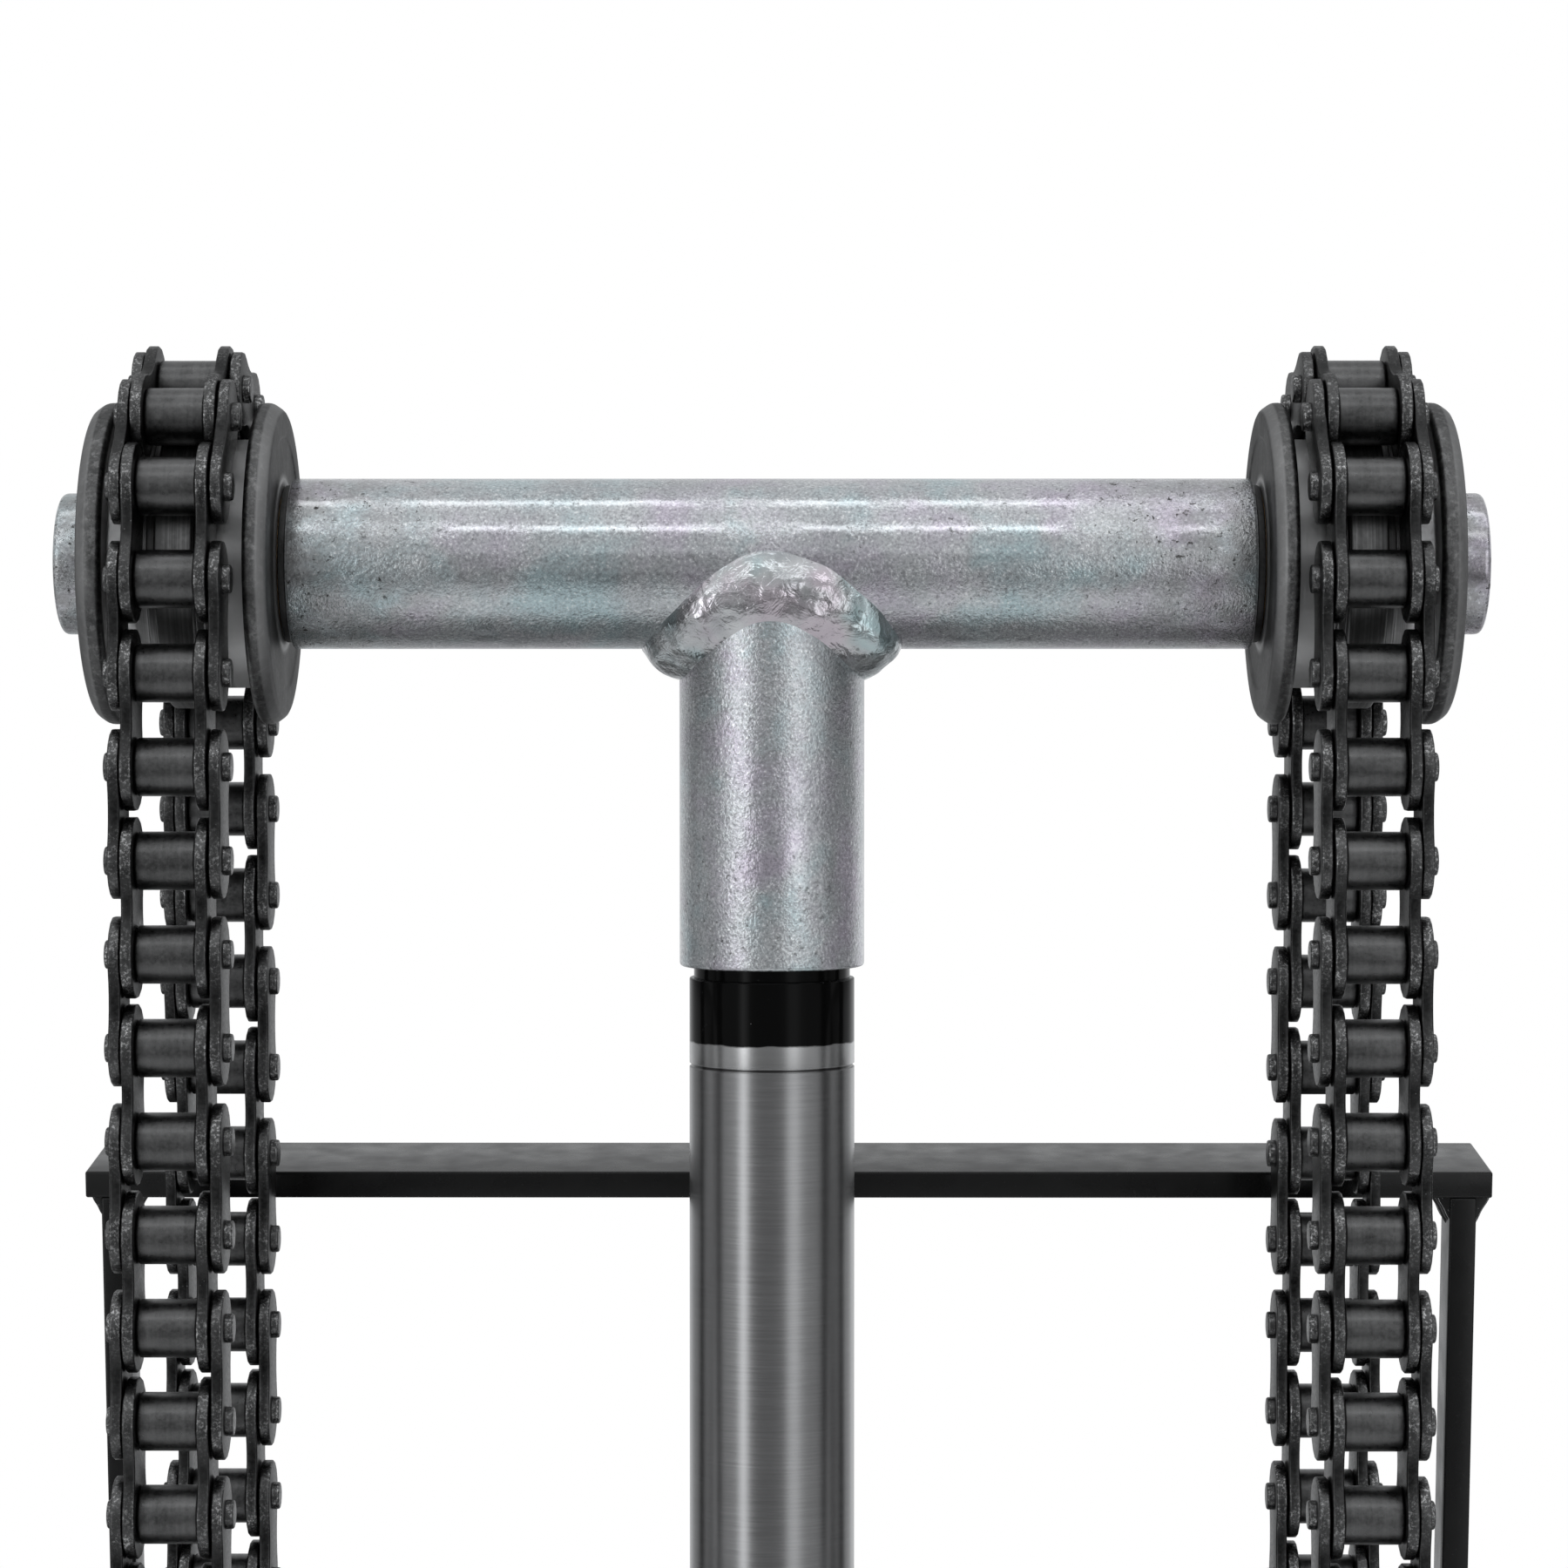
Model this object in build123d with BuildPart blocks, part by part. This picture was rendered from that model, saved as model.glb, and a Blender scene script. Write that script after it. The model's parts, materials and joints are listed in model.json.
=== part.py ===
"""Chain lift ram: a hydraulic ram carries a crosshead with a flanged roller at each end,
a roller chain hangs over each roller, and a light flat-bar frame stands behind it.

Millimetres, +Z up. X runs along the crosshead, +Y goes back towards the frame.
The origin is the middle of the base plate's underside.
"""

import os
from math import asin, atan2, cos, degrees, pi, radians, sin, sqrt, tan

from build123d import *

os.makedirs("parts", exist_ok=True)

# ---- Fits and gaps ----
PRESS_GAP = 0.02  # radial, between pieces that are pressed together
RUNNING_GAP = 0.05  # radial, between a pin and the bush that turns on it
CHAIN_SIDE_GAP = 0.25  # between an inner plate and the outer plate beside it
SEAT_GAP = 0.33  # between a chain roller and the wheel under it
CUT_MARGIN = 1.0  # how far a cut runs past the piece it cuts
EDGE_BREAK = 1.0  # chamfer on heavy pieces
TUBE_EDGE_BREAK = 0.6  # chamfer on the ends of the tubes and the rod

# ---- Chain: 3/4 inch pitch, single strand ----
PITCH = 19.05
CHAIN_ROLLER_RADIUS = 5.955
CHAIN_INNER_WIDTH = 12.57  # between the inner plates
PLATE_THICKNESS = 2.42
INNER_PLATE_HEIGHT = 18.0
INNER_PLATE_WAIST = 13.6
OUTER_PLATE_HEIGHT = 15.6
OUTER_PLATE_WAIST = 12.2
PIN_RADIUS = 2.97
PIN_END = 1.55  # how far a pin stands out of the outer plate
PIN_CHAMFER = 0.5
ROLLER_SIDE_GAP = 0.15  # between a chain roller and the inner plates
BUSHING_RADIUS = 4.29
STRAND_LINKS = 11  # links below the pin that is level with the first free pin

# ---- Wheels and crosshead ----
AXIS_HEIGHT = 600.0  # crosshead axis above the underside of the base
WRAP_LINKS = 6  # links from the front lift-off pin to the back one
FRONT_PIN_DROP = 3.96  # front lift-off pin below the crosshead axis
BACK_PIN_RISE = 4.06  # back lift-off pin above the crosshead axis
TUBE_RADIUS = 18.0
TUBE_BORE_RADIUS = 12.5
TUBE_HALF_LENGTH = 101.0
WHEEL_GAP = 0.3  # each side, between a wheel and the washer beside it
INNER_WASHER_THICKNESS = 1.5
INNER_WASHER_RADIUS = 16.6
INNER_FLANGE = 5.0
OUTER_FLANGE = 5.4
CHANNEL_SIDE_GAP = 1.475  # between a chain pin's end and the flange
FLANGE_BELOW_PINS = 2.93  # the flange's edge inside the circle of the wrapped pins
FLANGE_BEVEL_DEPTH = 2.4
FLANGE_BEVEL_HEIGHT = 1.7
FLANGE_INNER_CHAMFER = 0.8
RIB_WIDTH = 8.0
RIB_STEP = 2.55  # from the rib down to the shoulders
SHOULDER_STEP = 1.8  # from the shoulders down to the drum
SHOULDER_SIDE_GAP = 0.335  # between the shoulders and the inner plates
BUSH_WALL = 2.5
OUTER_WASHER_RADIUS = 20.3
OUTER_WASHER_THICKNESS = 1.4
AXLE_HEAD_LIP = 2.4  # how far the axle's head stands over the tube's bore
AXLE_HEAD_THICKNESS = 6.0
AXLE_HEAD_ROUND = 1.4
AXLE_GRIP = 42.0  # length pressed into the crosshead tube

# ---- Socket and ram ----
ROD_RADIUS = 17.5
SOCKET_STEP = 2.05  # the socket's outside over the rod's
SOCKET_LENGTH = 85.0  # below the crosshead axis
SPIGOT_STEP = 3.25  # the rod's spigot in the socket, under the rod's outside
SPIGOT_TOP_DROP = 24.0  # rod spigot's end below the crosshead axis
NECK_LENGTH = 2.4
NECK_STEP = 0.95
ROD_GROOVE_DROP = 21.3  # below the socket's end
ROD_GROOVE_WIDTH = 0.8
ROD_GROOVE_DEPTH = 0.35
WELD_REACH = 3.5  # how far the crosshead weld stands off the two tubes
WELD_TOP = 2.4  # above the crosshead axis
WELD_HALF_WIDTH = 28.0
WELD_THROAT_DROP = 12.6  # the weld's lower edge at the front, below the axis
WELD_SIDE_DROP = 24.7  # its lower edge at the sides

# ---- Cylinder ----
BARREL_ANNULUS = 7.5  # between the rod and the barrel's bore
BARREL_WALL = 5.0
BARREL_WELD_LEG = 5.0
PARKED_GAP = 7.0  # between the socket and the gland with the ram right down
GLAND_HEAD = 12.0
GLAND_HEAD_LIP = 2.0  # how far the gland's head stands over the barrel
GLAND_SPIGOT = 33.0
GLAND_LAND = 3.0  # below the guide bush, and between it and the rod seal
SPANNER_HOLES = 4
SPANNER_HOLE_ANGLE = 45.0
SPANNER_HOLE_RADIUS = 2.2
SPANNER_HOLE_DEPTH = 6.0
GLAND_CLEARANCE = 0.25  # radial, around the rod
SEAL_CLEARANCE = 0.06  # radial, between soft seals and the steel they touch
WIPER_HEIGHT = 7.0
WIPER_WALL = 4.0
WIPER_LIP = 1.5  # how far the wiper stands out of the gland
WIPER_SLOPE = 1.2
ROD_SEAL_HEIGHT = 8.0
ROD_SEAL_WALL = 5.0
GUIDE_HEIGHT = 10.0
GUIDE_WALL = 2.5
BASE_CAP_HEIGHT = 18.0
BASE_SPIGOT = 8.0
PORT_BOSS_RADIUS = 11.0
PORT_BOSS_REACH = 13.0  # how far the boss stands off the barrel
PORT_ABOVE_WELD = 1.0
PORT_BORE_RADIUS = 5.9
PORT_BORE_DEPTH = 12.0
PORT_DRILL_RADIUS = 3.0

# ---- Piston ----
RETRACT_STROKE = 140.0  # from the modelled position down to the stop
STOP_GAP = 2.0
PISTON_HEIGHT = 28.0
PISTON_CLEARANCE = 0.3
NUT_HEIGHT = 10.0
NUT_FLATS = 30.0
TENON_RADIUS = 10.0
PISTON_END_LAND = 4.0  # below the piston seal
PISTON_MIDDLE_LAND = 5.0  # between the seal and the wear ring
PISTON_SEAL_HEIGHT = 7.0
PISTON_SEAL_WALL = 4.0
WEAR_RING_HEIGHT = 8.0
WEAR_RING_WALL = 2.0

# ---- Base plate and frame ----
BASE_MARGIN = 12.0  # the base plate's reach past the frame's width, each side
BASE_DEPTH = 260.0
BASE_THICKNESS = 10.0
BASE_CORNER = 12.0
BASE_HOLE_RADIUS = 6.75
BASE_HOLE_INSET_X = 40.0
BASE_HOLE_INSET_Y = 25.0
FRAME_WIDTH = 316.0
FRAME_SHIFT = 3.4  # the frame stands this far to +X of the ram
FRAME_LEAN = 6.2  # degrees, the frame's foot stands back
BAR_DEPTH = 30.0
BAR_THICKNESS = 6.0
BAR_BEHIND_CHAIN = 12.77  # the bar's upper front edge behind the strands' pins
BAR_DROP = 135.0  # and below the crosshead axis
BAR_EDGE_ROUND = 0.5
UPRIGHT_WIDTH = 6.0
UPRIGHT_DEPTH = 12.0
UPRIGHT_INSET = 3.5
TOP_WELD_LEG = 3.2
FOOT_WELD_LEG = 5.0

# ---- Chain anchors ----
EAR_THICKNESS = 4.0
EAR_SIDE_GAP = 0.5
EAR_ROUND = 9.4
CLEVIS_CROTCH = 13.0  # from the pin down to the bottom of the slot
CLEVIS_BLOCK = 9.0
ANCHOR_HEAD_RADIUS = 5.0
ANCHOR_HEAD_THICKNESS = 2.0
STUD_RADIUS = 6.0
STUD_NUT_LENGTH = 18.0  # full-size thread under the nuts
STUD_END_RADIUS = 5.1  # plain end, thinner than the thread's root so that the nuts pass over it
STUD_END_LENGTH = 34.0
ANCHOR_NUT_FLATS = 19.0
ANCHOR_NUT_HEIGHTS = (10.0, 6.0)

# ---- Worked out from the sizes above ----
SIDES = {"left": -1, "right": 1}
INNER_PLATE_X = CHAIN_INNER_WIDTH / 2
OUTER_PLATE_X = INNER_PLATE_X + PLATE_THICKNESS + CHAIN_SIDE_GAP
PIN_HALF_LENGTH = OUTER_PLATE_X + PLATE_THICKNESS + PIN_END
BUSHING_HALF_LENGTH = INNER_PLATE_X + PLATE_THICKNESS
BUSHING_BORE_RADIUS = PIN_RADIUS + RUNNING_GAP
CHANNEL_WIDTH = 2 * (PIN_HALF_LENGTH + CHANNEL_SIDE_GAP)
WHEEL_START = TUBE_HALF_LENGTH + INNER_WASHER_THICKNESS + WHEEL_GAP
CHANNEL_START = WHEEL_START + INNER_FLANGE
CHANNEL_END = CHANNEL_START + CHANNEL_WIDTH
WHEEL_END = CHANNEL_END + OUTER_FLANGE
CHAIN_X = (CHANNEL_START + CHANNEL_END) / 2
WASHER_START = WHEEL_END + WHEEL_GAP
HEAD_START = WASHER_START + OUTER_WASHER_THICKNESS
HEAD_END = HEAD_START + AXLE_HEAD_THICKNESS
AXLE_HEAD_RADIUS = TUBE_BORE_RADIUS + AXLE_HEAD_LIP
SOCKET_RADIUS = ROD_RADIUS + SOCKET_STEP
SOCKET_BORE_RADIUS = ROD_RADIUS - SPIGOT_STEP
NECK_RADIUS = ROD_RADIUS - NECK_STEP
SOCKET_END = AXIS_HEIGHT - SOCKET_LENGTH
ROD_SHOULDER = SOCKET_END - NECK_LENGTH
BARREL_BORE_RADIUS = ROD_RADIUS + BARREL_ANNULUS
BARREL_RADIUS = BARREL_BORE_RADIUS + BARREL_WALL
BASE_CAP_RADIUS = BARREL_RADIUS + BARREL_WELD_LEG
CAP_TOP = BASE_THICKNESS + BASE_CAP_HEIGHT
PORT_HEIGHT = CAP_TOP + BARREL_WELD_LEG + PORT_ABOVE_WELD + PORT_BOSS_RADIUS
PORT_SADDLE = BARREL_RADIUS - sqrt(BARREL_RADIUS**2 - PORT_BOSS_RADIUS**2)
SPIGOT_TOP = CAP_TOP + BASE_SPIGOT
NUT_BOTTOM = SPIGOT_TOP + RETRACT_STROKE + STOP_GAP
PISTON_BOTTOM = NUT_BOTTOM + NUT_HEIGHT
PISTON_TOP = PISTON_BOTTOM + PISTON_HEIGHT
GLAND_TOP = SOCKET_END - RETRACT_STROKE - PARKED_GAP
GLAND_BOTTOM = GLAND_TOP - GLAND_HEAD - GLAND_SPIGOT
GLAND_HEAD_RADIUS = BARREL_RADIUS + GLAND_HEAD_LIP
BASE_WIDTH = FRAME_WIDTH + 2 * BASE_MARGIN
BASE_HOLES_X = BASE_WIDTH - 2 * BASE_HOLE_INSET_X
BASE_HOLES_Y = BASE_DEPTH - 2 * BASE_HOLE_INSET_Y
SMALLEST_STEP = 1e-9  # the search for the pin circle stops here


def wrap_gap(radius):
    """Radians left over when the wrapped links are laid between the two lift-off pins."""
    step = 2 * asin(PITCH / 2 / radius)
    front = asin(FRONT_PIN_DROP / radius)
    back = asin(BACK_PIN_RISE / radius)
    return pi + front - back - WRAP_LINKS * step


def chain_radius():
    """The radius of the wrapped pins at which both lift-off pins meet the links."""
    low = PITCH
    high = WRAP_LINKS * PITCH
    while high - low > SMALLEST_STEP:
        middle = (low + high) / 2
        if wrap_gap(middle) < 0:
            low = middle
        else:
            high = middle
    return low


PIN_CIRCLE = chain_radius()
RIB_RADIUS = PIN_CIRCLE - CHAIN_ROLLER_RADIUS - SEAT_GAP
SHOULDER_RADIUS = RIB_RADIUS - RIB_STEP
DRUM_RADIUS = SHOULDER_RADIUS - SHOULDER_STEP
FLANGE_RADIUS = PIN_CIRCLE - FLANGE_BELOW_PINS
BAR_FRONT = PIN_CIRCLE + BAR_BEHIND_CHAIN
LINK_ANGLE = 2 * asin(PITCH / 2 / PIN_CIRCLE)
FIRST_ANGLE = -asin(FRONT_PIN_DROP / PIN_CIRCLE)


def save(part, name):
    """Label a finished piece and write it as its own file."""
    part.label = name
    export_step(part, f"parts/{name}.step")


def ring(inner, outer, bottom, height):
    """An upright ring on the ram's centre line."""
    with BuildPart() as piece:
        with BuildSketch(Plane.XY.offset(bottom)):
            Circle(outer)
            Circle(inner, mode=Mode.SUBTRACT)
        extrude(amount=height)
    return piece.part


# ---- Base plate ----
with BuildPart() as base_plate:
    with BuildSketch(Plane.XY):
        RectangleRounded(BASE_WIDTH, BASE_DEPTH, BASE_CORNER)
        with GridLocations(BASE_HOLES_X, BASE_HOLES_Y, 2, 2):
            Circle(BASE_HOLE_RADIUS, mode=Mode.SUBTRACT)
    extrude(amount=BASE_THICKNESS)
    chamfer(base_plate.faces().sort_by(Axis.Z)[-1].outer_wire().edges(), EDGE_BREAK)
save(base_plate.part, "base_plate")

# ---- Cylinder ----
with BuildPart() as base_cap:
    with BuildSketch(Plane.XY.offset(BASE_THICKNESS)):
        Circle(BASE_CAP_RADIUS)
    extrude(amount=BASE_CAP_HEIGHT)
    with BuildSketch(Plane.XY.offset(CAP_TOP)):
        Circle(BARREL_BORE_RADIUS - PRESS_GAP)
    extrude(amount=BASE_SPIGOT)
save(base_cap.part, "cylinder_base_cap")

PORT_PLANE = Plane(
    origin=(0, -BARREL_RADIUS, PORT_HEIGHT),
    x_dir=(1, 0, 0),
    z_dir=(0, -1, 0),
)
with BuildPart() as barrel:
    with BuildSketch(Plane.XY.offset(CAP_TOP)):
        Circle(BARREL_RADIUS)
        Circle(BARREL_BORE_RADIUS, mode=Mode.SUBTRACT)
    extrude(amount=GLAND_TOP - GLAND_HEAD - CAP_TOP)
    with BuildSketch(PORT_PLANE):
        Circle(PORT_DRILL_RADIUS)
    extrude(amount=-BARREL_RADIUS, mode=Mode.SUBTRACT)
save(barrel.part, "cylinder_barrel")

with BuildPart() as port_boss:
    with BuildSketch(PORT_PLANE.offset(-PORT_SADDLE)):
        Circle(PORT_BOSS_RADIUS)
    extrude(amount=PORT_BOSS_REACH + PORT_SADDLE)
    with BuildSketch(PORT_PLANE.offset(PORT_BOSS_REACH)):
        Circle(PORT_BORE_RADIUS)
    extrude(amount=-PORT_BORE_DEPTH, mode=Mode.SUBTRACT)
    with BuildSketch(PORT_PLANE.offset(-PORT_SADDLE)):
        Circle(PORT_DRILL_RADIUS)
    extrude(amount=PORT_BOSS_REACH, mode=Mode.SUBTRACT)
    with BuildSketch(Plane.XY):
        Circle(BARREL_RADIUS)
    extrude(amount=GLAND_TOP, mode=Mode.SUBTRACT)
save(port_boss.part, "port_boss")

GUIDE_BOTTOM = GLAND_BOTTOM + GLAND_LAND
ROD_SEAL_BOTTOM = GUIDE_BOTTOM + GUIDE_HEIGHT + GLAND_LAND
WIPER_BOTTOM = GLAND_TOP - WIPER_HEIGHT
GUIDE_BORE = ROD_RADIUS + RUNNING_GAP
SEAL_BORE = ROD_RADIUS + SEAL_CLEARANCE
SPANNER_CIRCLE = (GLAND_HEAD_RADIUS + SEAL_BORE + WIPER_WALL) / 2
with BuildPart() as gland:
    with BuildSketch(Plane.XY.offset(GLAND_BOTTOM)):
        Circle(BARREL_BORE_RADIUS - PRESS_GAP)
    extrude(amount=GLAND_SPIGOT)
    with BuildSketch(Plane.XY.offset(GLAND_TOP - GLAND_HEAD)):
        Circle(GLAND_HEAD_RADIUS)
    extrude(amount=GLAND_HEAD)
    with BuildSketch(Plane.XY.offset(GLAND_BOTTOM)):
        Circle(ROD_RADIUS + GLAND_CLEARANCE)
    extrude(amount=GLAND_HEAD + GLAND_SPIGOT, mode=Mode.SUBTRACT)
    with BuildSketch(Plane.XY.offset(GUIDE_BOTTOM)):
        Circle(GUIDE_BORE + GUIDE_WALL + PRESS_GAP)
    extrude(amount=GUIDE_HEIGHT, mode=Mode.SUBTRACT)
    with BuildSketch(Plane.XY.offset(ROD_SEAL_BOTTOM)):
        Circle(SEAL_BORE + ROD_SEAL_WALL + PRESS_GAP)
    extrude(amount=ROD_SEAL_HEIGHT, mode=Mode.SUBTRACT)
    with BuildSketch(Plane.XY.offset(WIPER_BOTTOM)):
        Circle(SEAL_BORE + WIPER_WALL + PRESS_GAP)
    extrude(amount=WIPER_HEIGHT, mode=Mode.SUBTRACT)
    with BuildSketch(Plane.XY.offset(GLAND_TOP)):
        with PolarLocations(SPANNER_CIRCLE, SPANNER_HOLES, start_angle=SPANNER_HOLE_ANGLE):
            Circle(SPANNER_HOLE_RADIUS)
    extrude(amount=-SPANNER_HOLE_DEPTH, mode=Mode.SUBTRACT)
    chamfer(gland.faces().sort_by(Axis.Z)[-1].outer_wire().edges(), EDGE_BREAK)
save(gland.part, "gland")

save(ring(GUIDE_BORE, GUIDE_BORE + GUIDE_WALL, GUIDE_BOTTOM, GUIDE_HEIGHT), "rod_guide_bush")
save(ring(SEAL_BORE, SEAL_BORE + ROD_SEAL_WALL, ROD_SEAL_BOTTOM, ROD_SEAL_HEIGHT), "rod_seal")

with BuildPart() as wiper:
    with BuildSketch(Plane.XZ):
        with BuildLine():
            Polyline(
                (SEAL_BORE, WIPER_BOTTOM),
                (SEAL_BORE + WIPER_WALL, WIPER_BOTTOM),
                (SEAL_BORE + WIPER_WALL, GLAND_TOP),
                (SEAL_BORE + WIPER_WALL - WIPER_SLOPE, GLAND_TOP + WIPER_LIP),
                (SEAL_BORE, GLAND_TOP + WIPER_LIP),
                close=True,
            )
        make_face()
    revolve(axis=Axis.Z)
save(wiper.part, "rod_wiper")

# ---- Ram ----
with BuildPart() as rod:
    with BuildSketch(Plane.XY.offset(PISTON_TOP)):
        Circle(ROD_RADIUS)
    extrude(amount=ROD_SHOULDER - PISTON_TOP)
    chamfer(rod.faces().sort_by(Axis.Z)[-1].edges(), TUBE_EDGE_BREAK)
    with BuildSketch(Plane.XY.offset(ROD_SHOULDER)):
        Circle(NECK_RADIUS)
    extrude(amount=NECK_LENGTH)
    with BuildSketch(Plane.XY.offset(SOCKET_END)):
        Circle(SOCKET_BORE_RADIUS - PRESS_GAP)
    extrude(amount=SOCKET_LENGTH - SPIGOT_TOP_DROP)
    with BuildSketch(Plane.XY.offset(NUT_BOTTOM)):
        Circle(TENON_RADIUS)
    extrude(amount=PISTON_TOP - NUT_BOTTOM)
    with BuildSketch(Plane.XY.offset(SOCKET_END - ROD_GROOVE_DROP)):
        Circle(ROD_RADIUS + CUT_MARGIN)
        Circle(ROD_RADIUS - ROD_GROOVE_DEPTH, mode=Mode.SUBTRACT)
    extrude(amount=ROD_GROOVE_WIDTH, mode=Mode.SUBTRACT)
save(rod.part, "piston_rod")

SEAL_OUTER = BARREL_BORE_RADIUS - SEAL_CLEARANCE
SEAL_BOTTOM = PISTON_BOTTOM + PISTON_END_LAND
WEAR_RING_BOTTOM = SEAL_BOTTOM + PISTON_SEAL_HEIGHT + PISTON_MIDDLE_LAND
with BuildPart() as piston:
    with BuildSketch(Plane.XY.offset(PISTON_BOTTOM)):
        Circle(BARREL_BORE_RADIUS - PISTON_CLEARANCE)
        Circle(TENON_RADIUS + PRESS_GAP, mode=Mode.SUBTRACT)
    extrude(amount=PISTON_HEIGHT)
    with BuildSketch(Plane.XY.offset(SEAL_BOTTOM)):
        Circle(BARREL_BORE_RADIUS)
        Circle(SEAL_OUTER - PISTON_SEAL_WALL - PRESS_GAP, mode=Mode.SUBTRACT)
    extrude(amount=PISTON_SEAL_HEIGHT, mode=Mode.SUBTRACT)
    with BuildSketch(Plane.XY.offset(WEAR_RING_BOTTOM)):
        Circle(BARREL_BORE_RADIUS)
        Circle(SEAL_OUTER - WEAR_RING_WALL - PRESS_GAP, mode=Mode.SUBTRACT)
    extrude(amount=WEAR_RING_HEIGHT, mode=Mode.SUBTRACT)
save(piston.part, "piston")

save(ring(SEAL_OUTER - PISTON_SEAL_WALL, SEAL_OUTER, SEAL_BOTTOM, PISTON_SEAL_HEIGHT), "piston_seal")
save(
    ring(SEAL_OUTER - WEAR_RING_WALL, SEAL_OUTER, WEAR_RING_BOTTOM, WEAR_RING_HEIGHT),
    "piston_wear_ring",
)

with BuildPart() as piston_nut:
    with BuildSketch(Plane.XY.offset(NUT_BOTTOM)):
        RegularPolygon(NUT_FLATS / 2, 6, major_radius=False)
        Circle(TENON_RADIUS + PRESS_GAP, mode=Mode.SUBTRACT)
    extrude(amount=NUT_HEIGHT)
save(piston_nut.part, "piston_nut")

# ---- Crosshead ----
CROSS_PLANE = Plane(origin=(0, 0, AXIS_HEIGHT), x_dir=(0, 1, 0), z_dir=(1, 0, 0))
with BuildPart() as crosshead_tube:
    with BuildSketch(CROSS_PLANE):
        Circle(TUBE_RADIUS)
        Circle(TUBE_BORE_RADIUS, mode=Mode.SUBTRACT)
    extrude(amount=TUBE_HALF_LENGTH, both=True)
    chamfer(crosshead_tube.edges().filter_by(GeomType.CIRCLE), TUBE_EDGE_BREAK)
save(crosshead_tube.part, "crosshead_tube")

with BuildPart() as rod_socket:
    with BuildSketch(Plane.XY.offset(SOCKET_END)):
        Circle(SOCKET_RADIUS)
        Circle(SOCKET_BORE_RADIUS, mode=Mode.SUBTRACT)
    extrude(amount=SOCKET_LENGTH)
    chamfer(rod_socket.faces().sort_by(Axis.Z)[0].outer_wire().edges(), TUBE_EDGE_BREAK)
    with BuildSketch(CROSS_PLANE):
        Circle(TUBE_RADIUS)
    extrude(amount=TUBE_HALF_LENGTH, both=True, mode=Mode.SUBTRACT)
save(rod_socket.part, "rod_socket")

# The weld hugs both tubes, between an upper and a lower arch as seen from the front.
FRONT_PLANE = Plane(origin=(0, 0, AXIS_HEIGHT), x_dir=(1, 0, 0), z_dir=(0, -1, 0))
UPPER_ARCH_RADIUS = WELD_HALF_WIDTH
LOWER_ARCH_RADIUS = (SOCKET_RADIUS**2 + (WELD_SIDE_DROP - WELD_THROAT_DROP) ** 2) / (
    2 * (WELD_SIDE_DROP - WELD_THROAT_DROP)
)
WELD_DEPTH = 2 * SOCKET_RADIUS
with BuildPart() as crosshead_weld:
    with BuildSketch(CROSS_PLANE):
        Circle(TUBE_RADIUS + WELD_REACH)
    extrude(amount=WELD_HALF_WIDTH, both=True)
    with BuildSketch(Plane.XY.offset(AXIS_HEIGHT - WELD_HALF_WIDTH)):
        Circle(SOCKET_RADIUS + WELD_REACH)
    extrude(amount=WELD_HALF_WIDTH)
    with BuildSketch(FRONT_PLANE):
        with Locations((0, WELD_TOP - UPPER_ARCH_RADIUS)):
            Circle(UPPER_ARCH_RADIUS)
        with Locations((0, -WELD_THROAT_DROP - LOWER_ARCH_RADIUS)):
            Circle(LOWER_ARCH_RADIUS, mode=Mode.SUBTRACT)
    extrude(amount=WELD_DEPTH, both=True, mode=Mode.INTERSECT)
    with BuildSketch(CROSS_PLANE):
        Circle(TUBE_RADIUS)
    extrude(amount=TUBE_HALF_LENGTH, both=True, mode=Mode.SUBTRACT)
    with BuildSketch(Plane.XY.offset(SOCKET_END)):
        Circle(SOCKET_RADIUS)
    extrude(amount=SOCKET_LENGTH, mode=Mode.SUBTRACT)
save(crosshead_weld.part, "crosshead_weld")


def turned(points):
    """Revolve a closed outline of (distance along X, radius) about the crosshead axis."""
    with BuildPart() as piece:
        with BuildSketch(Plane.XZ):
            with BuildLine():
                Polyline(*[(x, AXIS_HEIGHT + r) for x, r in points], close=True)
            make_face()
        revolve(axis=Axis((0, 0, AXIS_HEIGHT), (1, 0, 0)))
    return piece


BUSH_RADIUS = TUBE_BORE_RADIUS + RUNNING_GAP + BUSH_WALL
HOLE = BUSH_RADIUS + PRESS_GAP
SHOULDER = INNER_PLATE_X - SHOULDER_SIDE_GAP
RIB = RIB_WIDTH / 2
WHEEL_OUTLINE = [
    (WHEEL_START, HOLE),
    (WHEEL_START, FLANGE_RADIUS - FLANGE_BEVEL_HEIGHT),
    (WHEEL_START + FLANGE_BEVEL_DEPTH, FLANGE_RADIUS),
    (CHANNEL_START - FLANGE_INNER_CHAMFER, FLANGE_RADIUS),
    (CHANNEL_START, FLANGE_RADIUS - FLANGE_INNER_CHAMFER),
    (CHANNEL_START, DRUM_RADIUS),
    (CHAIN_X - SHOULDER, DRUM_RADIUS),
    (CHAIN_X - SHOULDER, SHOULDER_RADIUS),
    (CHAIN_X - RIB, SHOULDER_RADIUS),
    (CHAIN_X - RIB, RIB_RADIUS),
    (CHAIN_X + RIB, RIB_RADIUS),
    (CHAIN_X + RIB, SHOULDER_RADIUS),
    (CHAIN_X + SHOULDER, SHOULDER_RADIUS),
    (CHAIN_X + SHOULDER, DRUM_RADIUS),
    (CHANNEL_END, DRUM_RADIUS),
    (CHANNEL_END, FLANGE_RADIUS - FLANGE_INNER_CHAMFER),
    (CHANNEL_END + FLANGE_INNER_CHAMFER, FLANGE_RADIUS),
    (WHEEL_END - FLANGE_BEVEL_DEPTH, FLANGE_RADIUS),
    (WHEEL_END, FLANGE_RADIUS - FLANGE_BEVEL_HEIGHT),
    (WHEEL_END, HOLE),
]
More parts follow.
